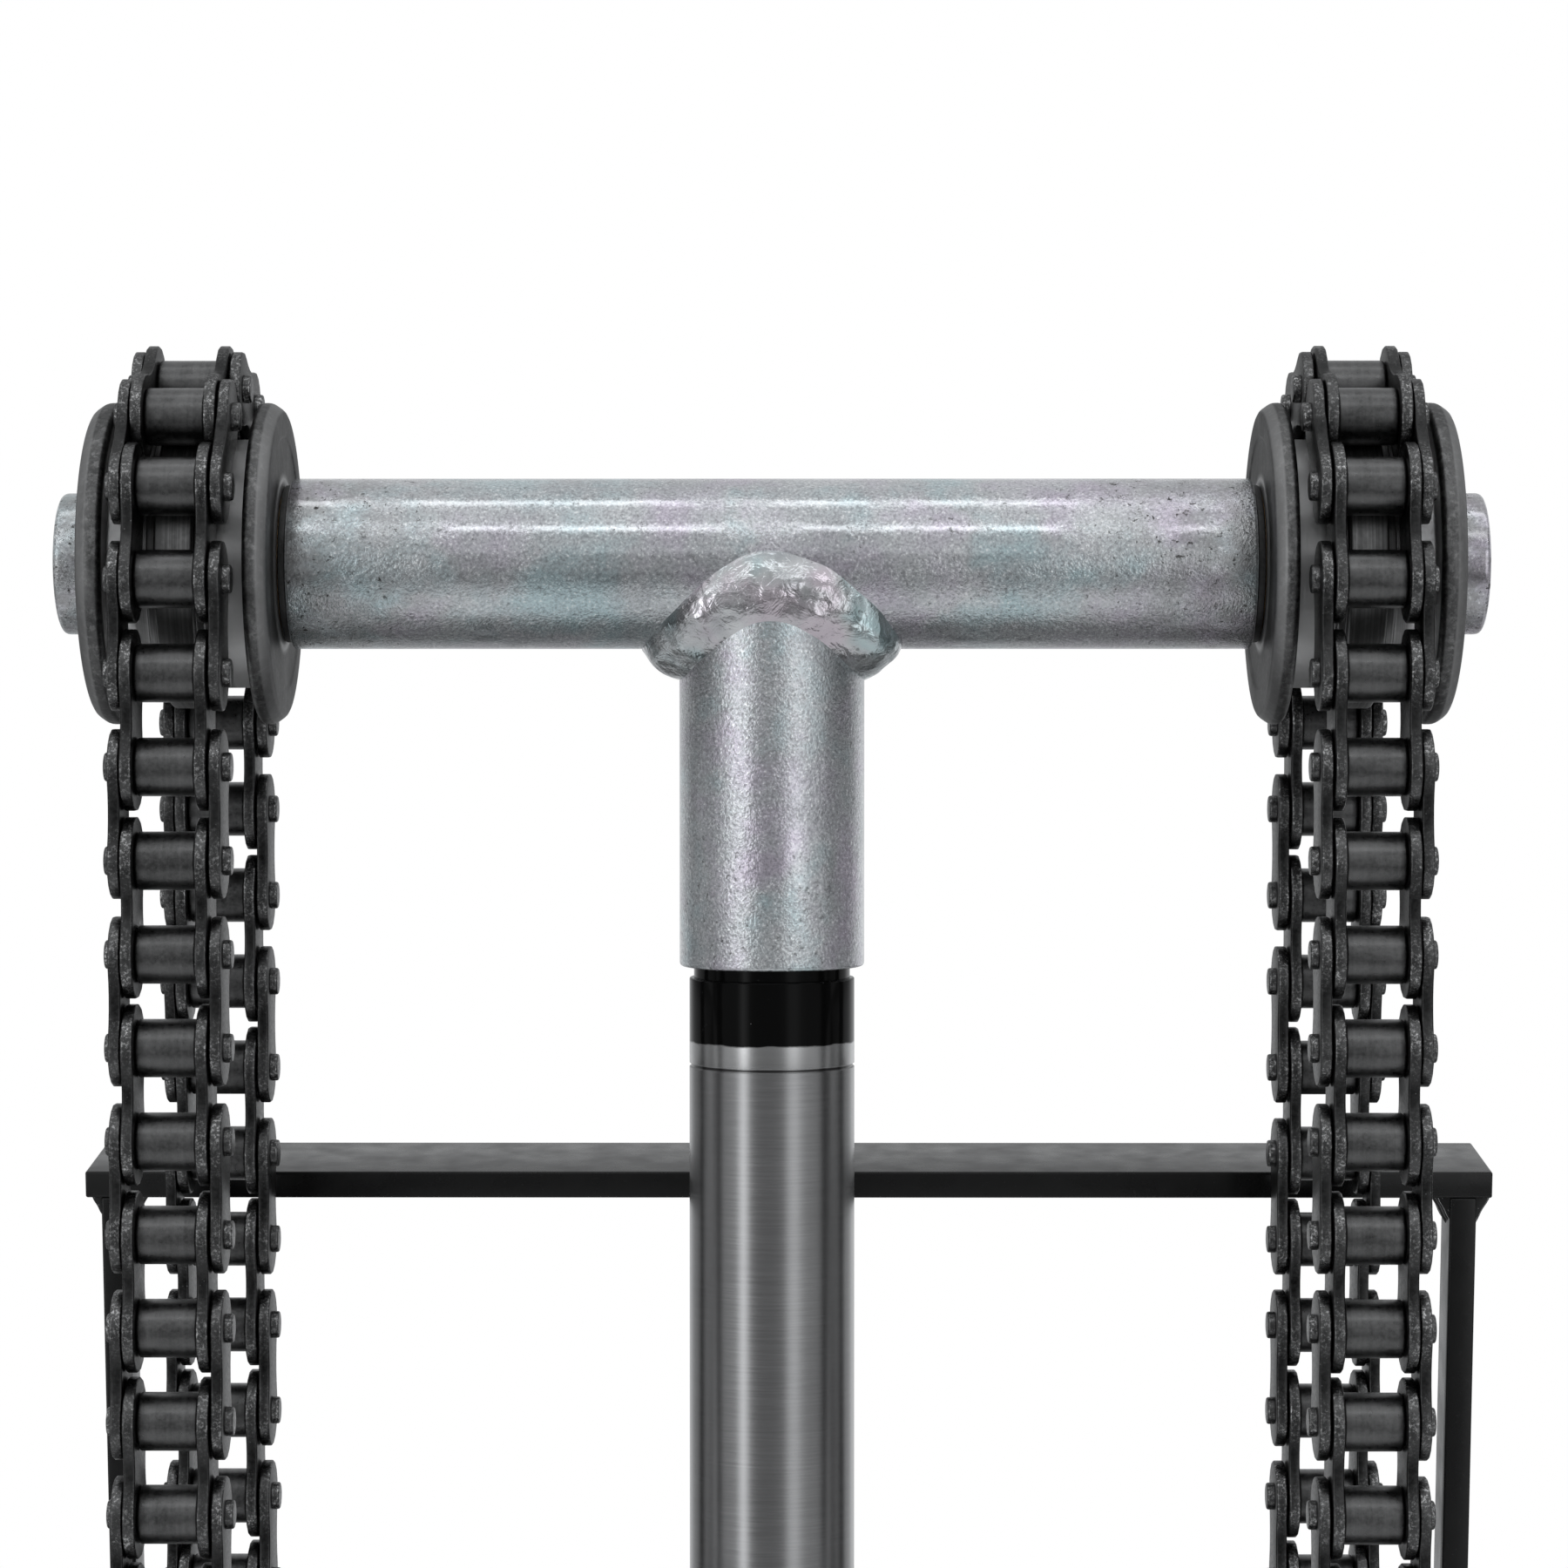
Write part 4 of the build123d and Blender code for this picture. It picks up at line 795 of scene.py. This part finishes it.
def wheel_set(side):
    """The wheel, its washers and the axle head at one end."""
    sign = SIDES[side]
    low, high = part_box(f"flanged_roller_{side}")
    start = min(abs(low.x), abs(high.x))
    radius = (high.z - low.z) / 2 / MM
    wide = (high.x - low.x) / MM
    outer = wide - OUTER_FLANGE
    profile = outline_x(
        sign,
        start,
        [
            (0.0, WHEEL_BORE, 0.5), (0.0, 17.6, 0.0), (FACE_CUT, 18.2, 0.3), (FACE_CUT, 26.5, 0.3),
            (0.0, 27.0, 0.3),
            (0.0, radius - 1.7, 0.9), (2.4, radius, 0.9), (4.2, radius, 0.5), (FLANGE, radius - 0.9, 0.5),
            (FLANGE, DRUM, 0.8), (13.45, DRUM, 0.4), (13.45, 28.0, 0.5), (15.4, 28.0, 0.3), (15.4, RIB, 0.6),
            (23.4, RIB, 0.6), (23.4, 28.0, 0.3), (25.35, 28.0, 0.5), (25.35, DRUM, 0.4), (outer, DRUM, 0.8),
            (outer, radius - 0.9, 0.5), (outer + 0.8, radius, 0.5), (wide - 2.4, radius, 0.9),
            (wide, radius - 1.7, 0.9), (wide, 27.0, 0.3), (wide - FACE_CUT, 26.5, 0.3),
            (wide - FACE_CUT, 21.5, 0.3), (wide, 21.0, 0.2), (wide, WHEEL_BORE, 0.5),
        ],
    )
    body = f"roller_{side}"
    along_x(f"wheel_{side}_look", profile, body, [f"flanged_roller_{side}"], "roller_steel", 160)

    for slot, edge in (("bright_washer", 0.35), ("dark_washer", 0.3)):
        node = f"outer_washer_{side}" if slot == "bright_washer" else f"thrust_washer_{side}"
        low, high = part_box(node)
        start = min(abs(low.x), abs(high.x))
        wide = (high.x - low.x) / MM
        size = (high.z - low.z) / 2 / MM
        points = [(0, WASHER_BORE, 0.2), (0, size, edge), (wide, size, edge), (wide, WASHER_BORE, 0.2)]
        along_x(f"{node}_look", outline_x(sign, start, points), "ram", [node], slot)

    low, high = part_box(f"axle_{side}")
    inner = min(abs(low.x), abs(high.x))
    end = max(abs(low.x), abs(high.x))
    head = (high.z - low.z) / 2
    under = end - AXLE_HEAD
    points = [(inner, 0, 0), (inner, AXLE_SHANK, 0.8 * MM), (under, AXLE_SHANK, 0), (under, head, 0.4 * MM)]
    points += [(end, head, 1.5 * MM), (end, head * 0.5, 0.2 * MM), (end - 0.15 * MM, 0, 0)]
    points = soften([(sign * along, radius, size) for along, radius, size in points], closed=False, steps=5)
    along_x(f"axle_{side}_look", points, "ram", [f"axle_{side}"], "machined_steel", 96, False, ZINC_HEAD)


# ---------------------------------------------------------------- crosshead
TUBE_BORE = 12.5 * MM
SOCKET_RADIUS = (SOCKET_HIGH.x - SOCKET_LOW.x) / 2
SOCKET_BORE = ROD_RADIUS - 3.25 * MM
SOCKET_WAIST = AXIS - 30 * MM  # an extra ring of points under the saddle
WELD_SUNK = 0.15 * MM  # how far the weld's edges lie inside the tube and the socket


def crosshead():
    """The tube, and the socket under it with its saddle-shaped top."""
    tube = sleeve(-TUBE_HALF, TUBE_HALF, TUBE_BORE, TUBE_RADIUS, 0.7 * MM, 0.5 * MM)
    along_x("tube_look", tube, "ram", ["crosshead_tube"], "zinc_plate", 192)

    foot = [(SOCKET_END, SOCKET_BORE, 0.5 * MM), (SOCKET_END, SOCKET_RADIUS, 0.9 * MM)]
    foot = soften(foot + [(SOCKET_WAIST, SOCKET_RADIUS, 0)], closed=False, steps=4)
    segments = 160
    verts = []
    for s in range(segments):
        angle = 2 * pi * s / segments
        top = AXIS - (10.4 + 11.5 * (1 - abs(cos(angle)) ** 2.5)) * MM
        column = foot + [(top, SOCKET_RADIUS), (top, SOCKET_BORE)]
        verts += [(r * sin(angle), -r * cos(angle), z) for z, r in column]
    shape = Shape()
    shape.add(verts, grid(segments, len(column), True, True))
    shape.make("socket_look", "ram", ["rod_socket"], "zinc_plate")


def saddle_weld():
    """The weld between the tube and the socket: a swelling band with shallow lumps."""
    around = 560
    across = 24
    tube = TUBE_RADIUS - WELD_SUNK
    socket = SOCKET_RADIUS - WELD_SUNK
    verts = []
    for s in range(around):
        angle = 2 * pi * s / around
        c = cos(angle)
        q = sin(angle)
        wobble = noise.noise(Vector((3.1 * c, 3.1 * q, 0.4)))
        edge_x = (27.3 * q + 2.2 * c * abs(q) + 0.9 * wobble * q) * MM
        edge_z = min(-18.0 + 20.4 * c**2 + 0.9 * wobble * abs(c), 6.0) * MM
        depth = sqrt(max(0.0, tube**2 - edge_z**2))
        upper = Vector((edge_x, -depth if c > 0 else depth, AXIS + edge_z))
        lower_z = (-12.6 - 12.1 * (1 - abs(c) ** 2.5)) * MM
        lower_z -= 0.5 * MM * noise.noise(Vector((2.3 * c, 2.3 * q, 7.7)))
        lower = Vector((socket * q, -socket * c, AXIS + lower_z))
        tube_normal = Vector((0, upper.y, edge_z)).normalized()
        normal = (tube_normal + Vector((q, -c, 0))).normalized()
        swell = (0.8 + 1.7 * min(1.0, 1.7 * abs(c)) + 0.5 * wobble) * MM
        control = (upper + lower) / 2 + normal * 2 * swell
        for k in range(across + 1):
            t = k / across
            spot = upper * (1 - t) ** 2 + control * (2 * t * (1 - t)) + lower * t**2
            lead = angle * 84.0 + 5.0 * (2 * t - 1) ** 2
            lead += 7.0 * noise.noise(Vector((1.7 * c, 1.7 * q, 5.0)))
            fresh = 0.5 + 0.5 * noise.noise(Vector((3 * c, 3 * q, 2.0)))
            broad = noise.noise(spot * 75.0 + Vector((0.3, 0.0, 0.9)))
            lump = noise.noise(spot * 210.0)
            height = 0.035 * sin(lead) * fresh + 1.0 * broad + 0.62 * lump
            rise = sin(pi * t) ** 0.6 * height * MM
            verts.append(spot + normal * rise)
    shape = Shape()
    shape.add(verts, grid(around, across + 1, True, False))
    shape.make("crosshead_weld_look", "ram", ["crosshead_weld"], "zinc_plate", ZINC_WELD, 180)


# ----------------------------------------------------------- ram and barrel
ROOT = "frame_and_cylinder"
SPIGOT_RADIUS = ROD_RADIUS - 3.27 * MM
NECK_RADIUS = ROD_RADIUS - 0.95 * MM
TENON_RADIUS = 10.0 * MM
BARREL_BORE = 25.0 * MM
CAP_SPIGOT = 8.0 * MM
CAP_SPIGOT_RADIUS = BARREL_BORE - 0.02 * MM
SEAL_GAP = 0.06 * MM
PORT_DEPTH = 12.0 * MM
PORT_RADIUS = 5.9 * MM
PORT_DRILLING = 3.0 * MM


def along_z(name, profile, body, nodes, slot, segments=128, closed=True):
    """A turned piece on the ram's axis."""
    shape = Shape()
    shape.add(*lathe(profile, (0, 0, 0), "Z", segments, closed))
    shape.make(name, body, nodes, slot)


def ram_and_barrel():
    """The rod, and the outside of the cylinder it slides in."""
    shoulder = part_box("piston")[1].z
    groove_top = GROOVE + GROOVE_WIDTH
    groove_floor = ROD_RADIUS - GROOVE_DEPTH
    rod = [
        (ROD_LOW.z, 0, 0), (ROD_LOW.z, TENON_RADIUS, 0.8 * MM), (shoulder, TENON_RADIUS, 0),
        (shoulder, ROD_RADIUS, 0.5 * MM), (GROOVE, ROD_RADIUS, 0.08 * MM), (GROOVE, groove_floor, 0),
        (groove_top, groove_floor, 0), (groove_top, ROD_RADIUS, 0.08 * MM), (NECK_END, ROD_RADIUS, 0.7 * MM),
        (NECK_END, NECK_RADIUS, 0), (SOCKET_END, NECK_RADIUS, 0), (SOCKET_END, SPIGOT_RADIUS, 0),
        (ROD_HIGH.z, SPIGOT_RADIUS, 0.8 * MM), (ROD_HIGH.z, 0, 0),
    ]
    along_z("rod_look", soften(rod, closed=False), "ram", ["piston_rod"], "rod_steel", 160, closed=False)

    low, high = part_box("cylinder_barrel")
    outside = high.x
    barrel = sleeve(low.z, high.z, BARREL_BORE, outside, 0.6 * MM)
    along_z("barrel_look", barrel, ROOT, ["cylinder_barrel"], "black_paint")

    low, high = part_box("cylinder_base_cap")
    ledge = high.z - CAP_SPIGOT
    cap = [(low.z, 0, 0), (low.z, high.x, 0.4 * MM), (ledge, high.x, 0.8 * MM), (ledge, CAP_SPIGOT_RADIUS, 0)]
    cap = soften(cap + [(high.z, CAP_SPIGOT_RADIUS, 0.5 * MM), (high.z, 0, 0)], closed=False)
    along_z("base_cap_look", cap, ROOT, ["cylinder_base_cap"], "black_paint", closed=False)

    low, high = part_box("rod_wiper")
    inner = ROD_RADIUS + SEAL_GAP
    lip = [(low.z, inner, 0), (low.z, high.x, 0), (high.z - 1.5 * MM, high.x, 0.3 * MM)]
    lip += [(high.z - 0.4 * MM, inner + 1.6 * MM, 0.5 * MM), (high.z, inner + 0.5 * MM, 0.2 * MM)]
    lip += [(high.z, inner, 0)]
    along_z("wiper_look", soften(lip), ROOT, ["rod_wiper"], "seal_rubber")

    low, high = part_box("port_boss")
    end = low.y + PORT_DEPTH
    size = (high.z - low.z) / 2
    wall = -outside + 3.0 * MM
    boss = [(end, PORT_DRILLING, 0), (end, PORT_RADIUS, 0), (low.y, PORT_RADIUS, 0.7 * MM)]
    boss += [(low.y, size, 1.0 * MM), (wall, size, 0), (wall, PORT_DRILLING, 0)]
    shape = Shape()
    shape.add(*lathe(soften(boss), (0, 0, (low.z + high.z) / 2), "Y", 64))
    shape.make("port_boss_look", ROOT, ["port_boss"], "black_paint")


# -------------------------------------------------------------------- frame
LEAN = radians(6.2)
BAR_DEPTH = 30.0 * MM
BAR_THICKNESS = 6.0 * MM
UPRIGHT_DEPTH = 12.0 * MM
RIPPLE_LENGTH = 2.6 * MM
WELD_ROOT = 0.2 * MM  # how far a bead reaches into the corner it fills
BEAD_END = 0.4 * MM  # how far a bead stops short of the faces' ends
CYLINDER_BEAD = 4.9 * MM
BACKWARD = Vector((0, cos(LEAN), sin(LEAN)))
DOWNWARD = Vector((0, sin(LEAN), -cos(LEAN)))


def bead(start, end, face_a, face_b, leg, seed, lumps, hollow=0.10, blunt=0.35):
    """A weld bead in the corner between two faces, with rounded, uneven ripples.

    leg: its reach on each face. lumps: how uneven. hollow: how far its face sinks between
    them. blunt: how full its two ends are.
    """
    along = end - start
    length = along.length
    count = max(8, int(length / (0.45 * MM)))
    arcs = 9
    shift = Vector((seed, 0, 0))
    verts = []
    for n in range(count + 1):
        t = n / count
        spot = start + along * t
        taper = min(1.0, (blunt + 4.0 * min(t, 1 - t)) ** 0.5)
        ripple = 1 + 0.10 * sin(2 * pi * t * length / RIPPLE_LENGTH + seed)
        swell = taper * ripple * (1 + lumps * noise.noise(spot * 190.0 + shift))
        for k in range(arcs + 1):
            angle = pi / 2 * k / arcs
            reach = leg * swell * (1.0 - hollow * sin(2 * angle))
            verts.append(spot + face_a * (reach * cos(angle)) + face_b * (reach * sin(angle)))
        verts.append(spot - (face_a + face_b) * WELD_ROOT)
    ring = arcs + 2
    faces = grid(count + 1, ring, False, True)
    faces.append(tuple(reversed(range(ring))))
    faces.append(tuple(range(count * ring, (count + 1) * ring)))
    return verts, faces


def ring_bead(radius, level, leg, seed):
    """A weld bead round the cylinder, standing on a face below it."""
    around = 240
    arcs = 8
    verts = []
    for s in range(around):
        angle = 2 * pi * s / around
        outward = Vector((cos(angle), sin(angle), 0))
        spot = outward * radius + Vector((0, 0, level))
        swell = 1 + 0.07 * sin(angle * 46 + seed) + 0.12 * noise.noise(outward * 9.0 + Vector((seed, 0, 0)))
        for k in range(arcs + 1):
            turn = pi / 2 * k / arcs
            reach = min(leg * swell * (0.97 - 0.12 * sin(2 * turn)), leg * 1.05)
            verts.append(spot + outward * (reach * cos(turn)) + Vector((0, 0, reach * sin(turn))))
        verts.append(spot - outward * WELD_ROOT)
    return verts, grid(around, arcs + 2, True, True)


def rounded_box_outline(wide, deep, size):
    """A rectangle's outline from its corner, anticlockwise, with rounded corners."""
    corners = soften([(0, 0, size), (wide, 0, size), (wide, deep, size), (0, deep, size)], steps=4)
    return with_normals(corners)


def frame_pieces():
    """The top bar, the uprights, and the welds of the frame and the cylinder."""
    low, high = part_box("frame_top_bar")
    front_top = Vector((low.x, low.y, high.z - BAR_DEPTH * sin(LEAN)))
    shape = Shape()
    outline = rounded_box_outline(BAR_DEPTH, BAR_THICKNESS, 0.6 * MM)
    shape.add(*prism(outline, front_top, BACKWARD, DOWNWARD, SIDEWAYS, high.x - low.x, 0.5 * MM))
    shape.make("top_bar_look", ROOT, ["frame_top_bar"], "black_paint")

    welds = Shape()
    along_y = Vector((0, 1, 0))
    up = Vector((0, 0, 1))
    under = front_top + DOWNWARD * BAR_THICKNESS
    top_front = Vector((0, under.y, under.z))
    top_back = top_front + BACKWARD * UPRIGHT_DEPTH
    for side in SIDES:
        low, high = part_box(f"upright_{side}")
        foot_back = Vector((0, high.y, low.z))
        foot_front = Vector((0, high.y - UPRIGHT_DEPTH / cos(LEAN), low.z))
        points = soften([(p.y, p.z, 0.5 * MM) for p in (top_front, foot_front, foot_back, top_back)])
        origin = Vector((low.x, 0, 0))
        shape = Shape()
        shape.add(*prism(with_normals(points), origin, along_y, up, SIDEWAYS, high.x - low.x, 0.5 * MM))
        shape.make(f"upright_{side}_look", ROOT, [f"upright_{side}"], "black_paint")
        for face, outward in ((high.x, SIDEWAYS), (low.x, -SIDEWAYS)):
            seed = face * 1000
            at = Vector((face, 0, 0))
            start = at + top_front + BACKWARD * BEAD_END
            end = at + top_back - BACKWARD * BEAD_END
            welds.add(*bead(start, end, outward, DOWNWARD * 1.9, 2.7 * MM, seed, 0.7, 0.30, 0.9))
            start = at + foot_front + along_y * BEAD_END
            end = at + foot_back - along_y * BEAD_END
            welds.add(*bead(start, end, outward, up, 4.8 * MM, seed + 4, 0.2))
    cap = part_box("cylinder_base_cap")[1].x
    barrel_low, barrel_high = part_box("cylinder_barrel")
    welds.add(*ring_bead(cap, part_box("base_plate")[1].z, CYLINDER_BEAD, 1.0))
    welds.add(*ring_bead(barrel_high.x, barrel_low.z, CYLINDER_BEAD, 5.0))
    welds.make("frame_welds_look", ROOT, ["frame_welds"], "black_paint", WELD_BLACK, 60)


for side in SIDES:
    wheel_set(side)
    x = JOINTS[f"roller_spin_{side}"]["pos_m"][0]
    lift_off = {run: JOINTS[f"strand_swing_{side}_{run}"]["pos_m"] for run in ("front", "back")}
    chain(x, pins_over_wheel(lift_off["front"], lift_off["back"]), True, f"chain_{side}_wrap", "ram")
    for run, inner_first in (("front", False), ("back", True)):
        end = JOINTS[f"anchor_swing_{side}_{run}"]["pos_m"]
        chain(x, pins_down(lift_off[run], end), inner_first, f"chain_{side}_{run}", f"strand_{side}_{run}")
    for run in lift_off:
        anchor(side, run)
crosshead()
saddle_weld()
ram_and_barrel()
frame_pieces()

# Hidden and simple pieces keep their CAD shape, with eased edges and a finish.
for part in frame["record"]["subparts"]:
    piece = NODES[part["node"]]
    piece.data.materials.clear()
    piece.data.materials.append(SLOT_LOOKS[part["material_slot"]])
for node, width in (("base_plate", 0.35), ("gland", 0.25)):
    piece = NODES[node]
    easing = piece.modifiers.new("eased", "BEVEL")
    easing.width = width * MM
    easing.segments = 2
    easing.limit_method = "ANGLE"
    easing.angle_limit = radians(40)
    easing.harden_normals = True

# ---------------------------------------------------- floor, light and camera
FLOOR_REACH = 2.4
FADE_START = 0.45
FADE_END = 1.6
floor_mesh = bpy.data.meshes.new("floor")
floor_work = bmesh.new()
bmesh.ops.create_circle(floor_work, cap_ends=True, segments=128, radius=FLOOR_REACH)
floor_work.to_mesh(floor_mesh)
floor_work.free()
floor = bpy.data.objects.new("floor", floor_mesh)
scene.collection.objects.link(floor)
floor_look = Look("floor_look", metallic=0.0, roughness=0.8)
grey = floor_look.range(floor_look.noise(9.0, 3.0), 0.3, 0.7)
floor_look.colour(floor_look.mix(grey, (0.80, 0.80, 0.80), (0.84, 0.84, 0.84)))
squares = [floor_look.times(part, part) for part in (floor_look.x, floor_look.y)]
distance = floor_look.math("SQRT", floor_look.math("ADD", *squares))
clear = floor_look.node("ShaderNodeBsdfTransparent")
gone = floor_look.range(distance, FADE_START, FADE_END, smooth=True)
fade = floor_look.node("ShaderNodeMixShader", Fac=gone)
floor_look.feed(fade.inputs[1], floor_look.shader.outputs[0])
floor_look.feed(fade.inputs[2], clear.outputs[0])
floor_look.feed(floor_look.tree.nodes["Material Output"].inputs[0], fade.outputs[0])
floor_mesh.materials.append(floor_look.material)

# A dark card on the floor behind the ram, seen only in reflections.
CARD_LEVEL = 0.004
card_mesh = bpy.data.meshes.new("dark_card")
corners = [(-0.5, 0.02), (0.5, 0.02), (0.5, 0.75), (-0.5, 0.75)]
card_mesh.from_pydata([(a, b, CARD_LEVEL) for a, b in corners], [], [(0, 1, 2, 3)])
card = bpy.data.objects.new("dark_card", card_mesh)
scene.collection.objects.link(card)
card_look = Look("dark_card_look", metallic=0.0, roughness=0.9)
card_look.colour(card_look.mix(card_look.noise(20.0), (0.26, 0.26, 0.26), (0.34, 0.34, 0.34)))
card_mesh.materials.append(card_look.material)
card.visible_camera = False
card.visible_shadow = False
card.visible_diffuse = False

world = bpy.data.worlds.new("studio")
scene.world = world
world.use_nodes = True
sky = Net(world.node_tree)


def window(value, low, high, soft):
    """1 between two limits, falling off softly past them."""
    rises, falls = (sky.range(value, at - soft / 2, at + soft / 2, smooth=True) for at in (low, high))
    return sky.math("SUBTRACT", rises, falls)


# Angles in degrees: rise goes up from the camera's side, over the top to the back;
# swing goes round from the camera's side, positive towards +X.
way = sky.node("ShaderNodeSeparateXYZ", Vector=sky.node("ShaderNodeTexCoord").outputs["Generated"])
way_x, way_y, way_z = way.outputs
toward = sky.times(way_y, -1.0)
rise = sky.times(sky.math("ARCTAN2", way_z, toward), 180 / pi)
swing = sky.times(sky.math("ARCTAN2", way_x, toward), 180 / pi)
above = sky.range(way_z, -0.05, 0.05, smooth=True)
below = sky.math("SUBTRACT", 1.0, above)
ahead = window(sky.math("ABSOLUTE", way_x), -1.0, 0.80, 0.20)

LIGHTS = []


def shine(amount, *shares):
    """Add light of an amount where all the shares are high."""
    value = amount
    for share in shares:
        value = sky.times(share, value)
    LIGHTS.append(value)


BASE_LIGHT = 0.045
RING_TOP = 4.0  # the light that a full white stop stands for
RING = (  # swing, light
    (-180, 0.55), (-150, 0.55), (-138, 0.24), (-122, 0.16), (-86, 0.16), (-79, 0.56), (-50, 0.60),
    (-46, 1.2), (-41, 3.4), (-37, 2.6), (-30, 0.42), (-22, 0.30), (-8, 0.27), (8, 0.30), (18, 0.42),
    (25, 1.5), (34, 1.6), (42, 0.80), (50, 0.56), (69, 0.52), (74, 0.18), (86, 0.07), (106, 0.05),
    (118, 0.30), (136, 0.40), (146, 0.85), (165, 0.60), (180, 0.55),
)
around = sky.math("DIVIDE", sky.math("ADD", swing, 180.0), 360.0)
ring = sky.ramp(around, *(((angle + 180) / 360, light / RING_TOP) for angle, light in RING))
shine(sky.times(ring, RING_TOP), window(way_z, -0.30, 0.30, 0.10))
shine(0.54, window(rise, 14, 47, 6), ahead)
shine(3.2, window(rise, 46, 50, 2), ahead)
shine(0.80, window(rise, 50, 86, 5), ahead)
shine(2.4, window(rise, 86, 93, 4), ahead)
shine(0.66, window(rise, 94, 165, 8), above)
shine(0.52, window(rise, -84, -42, 6), below)
shine(0.25, window(rise, -181, -128, 12), below)
total = BASE_LIGHT
for light in LIGHTS:
    total = sky.math("ADD", light, total)

lit = sky.node("ShaderNodeBackground", Color=(0.97, 0.985, 1.0), Strength=total)
seen = sky.node("ShaderNodeBackground", Color=(1.0, 1.0, 1.0), Strength=1.0)
swap = sky.node("ShaderNodeMixShader", Fac=sky.node("ShaderNodeLightPath").outputs["Is Camera Ray"])
sky.feed(swap.inputs[1], lit.outputs[0])
sky.feed(swap.inputs[2], seen.outputs[0])
sky.feed(sky.tree.nodes["World Output"].inputs[0], swap.outputs[0])

scene.view_settings.view_transform = "Standard"
scene.view_settings.look = "None"

camera_data = bpy.data.cameras.new("camera")
camera_data.lens = 94.38  # fitted to the photograph, like the place and the turn below
camera_data.sensor_width = 36.0
camera_data.clip_start = 0.02
camera = bpy.data.objects.new("camera", camera_data)
scene.collection.objects.link(camera)
camera.location = (0.0056, -0.870, 0.578)
camera.rotation_euler = (pi / 2 - 0.0282, 0, 0.0035)
scene.camera = camera

bpy.context.view_layer.update()
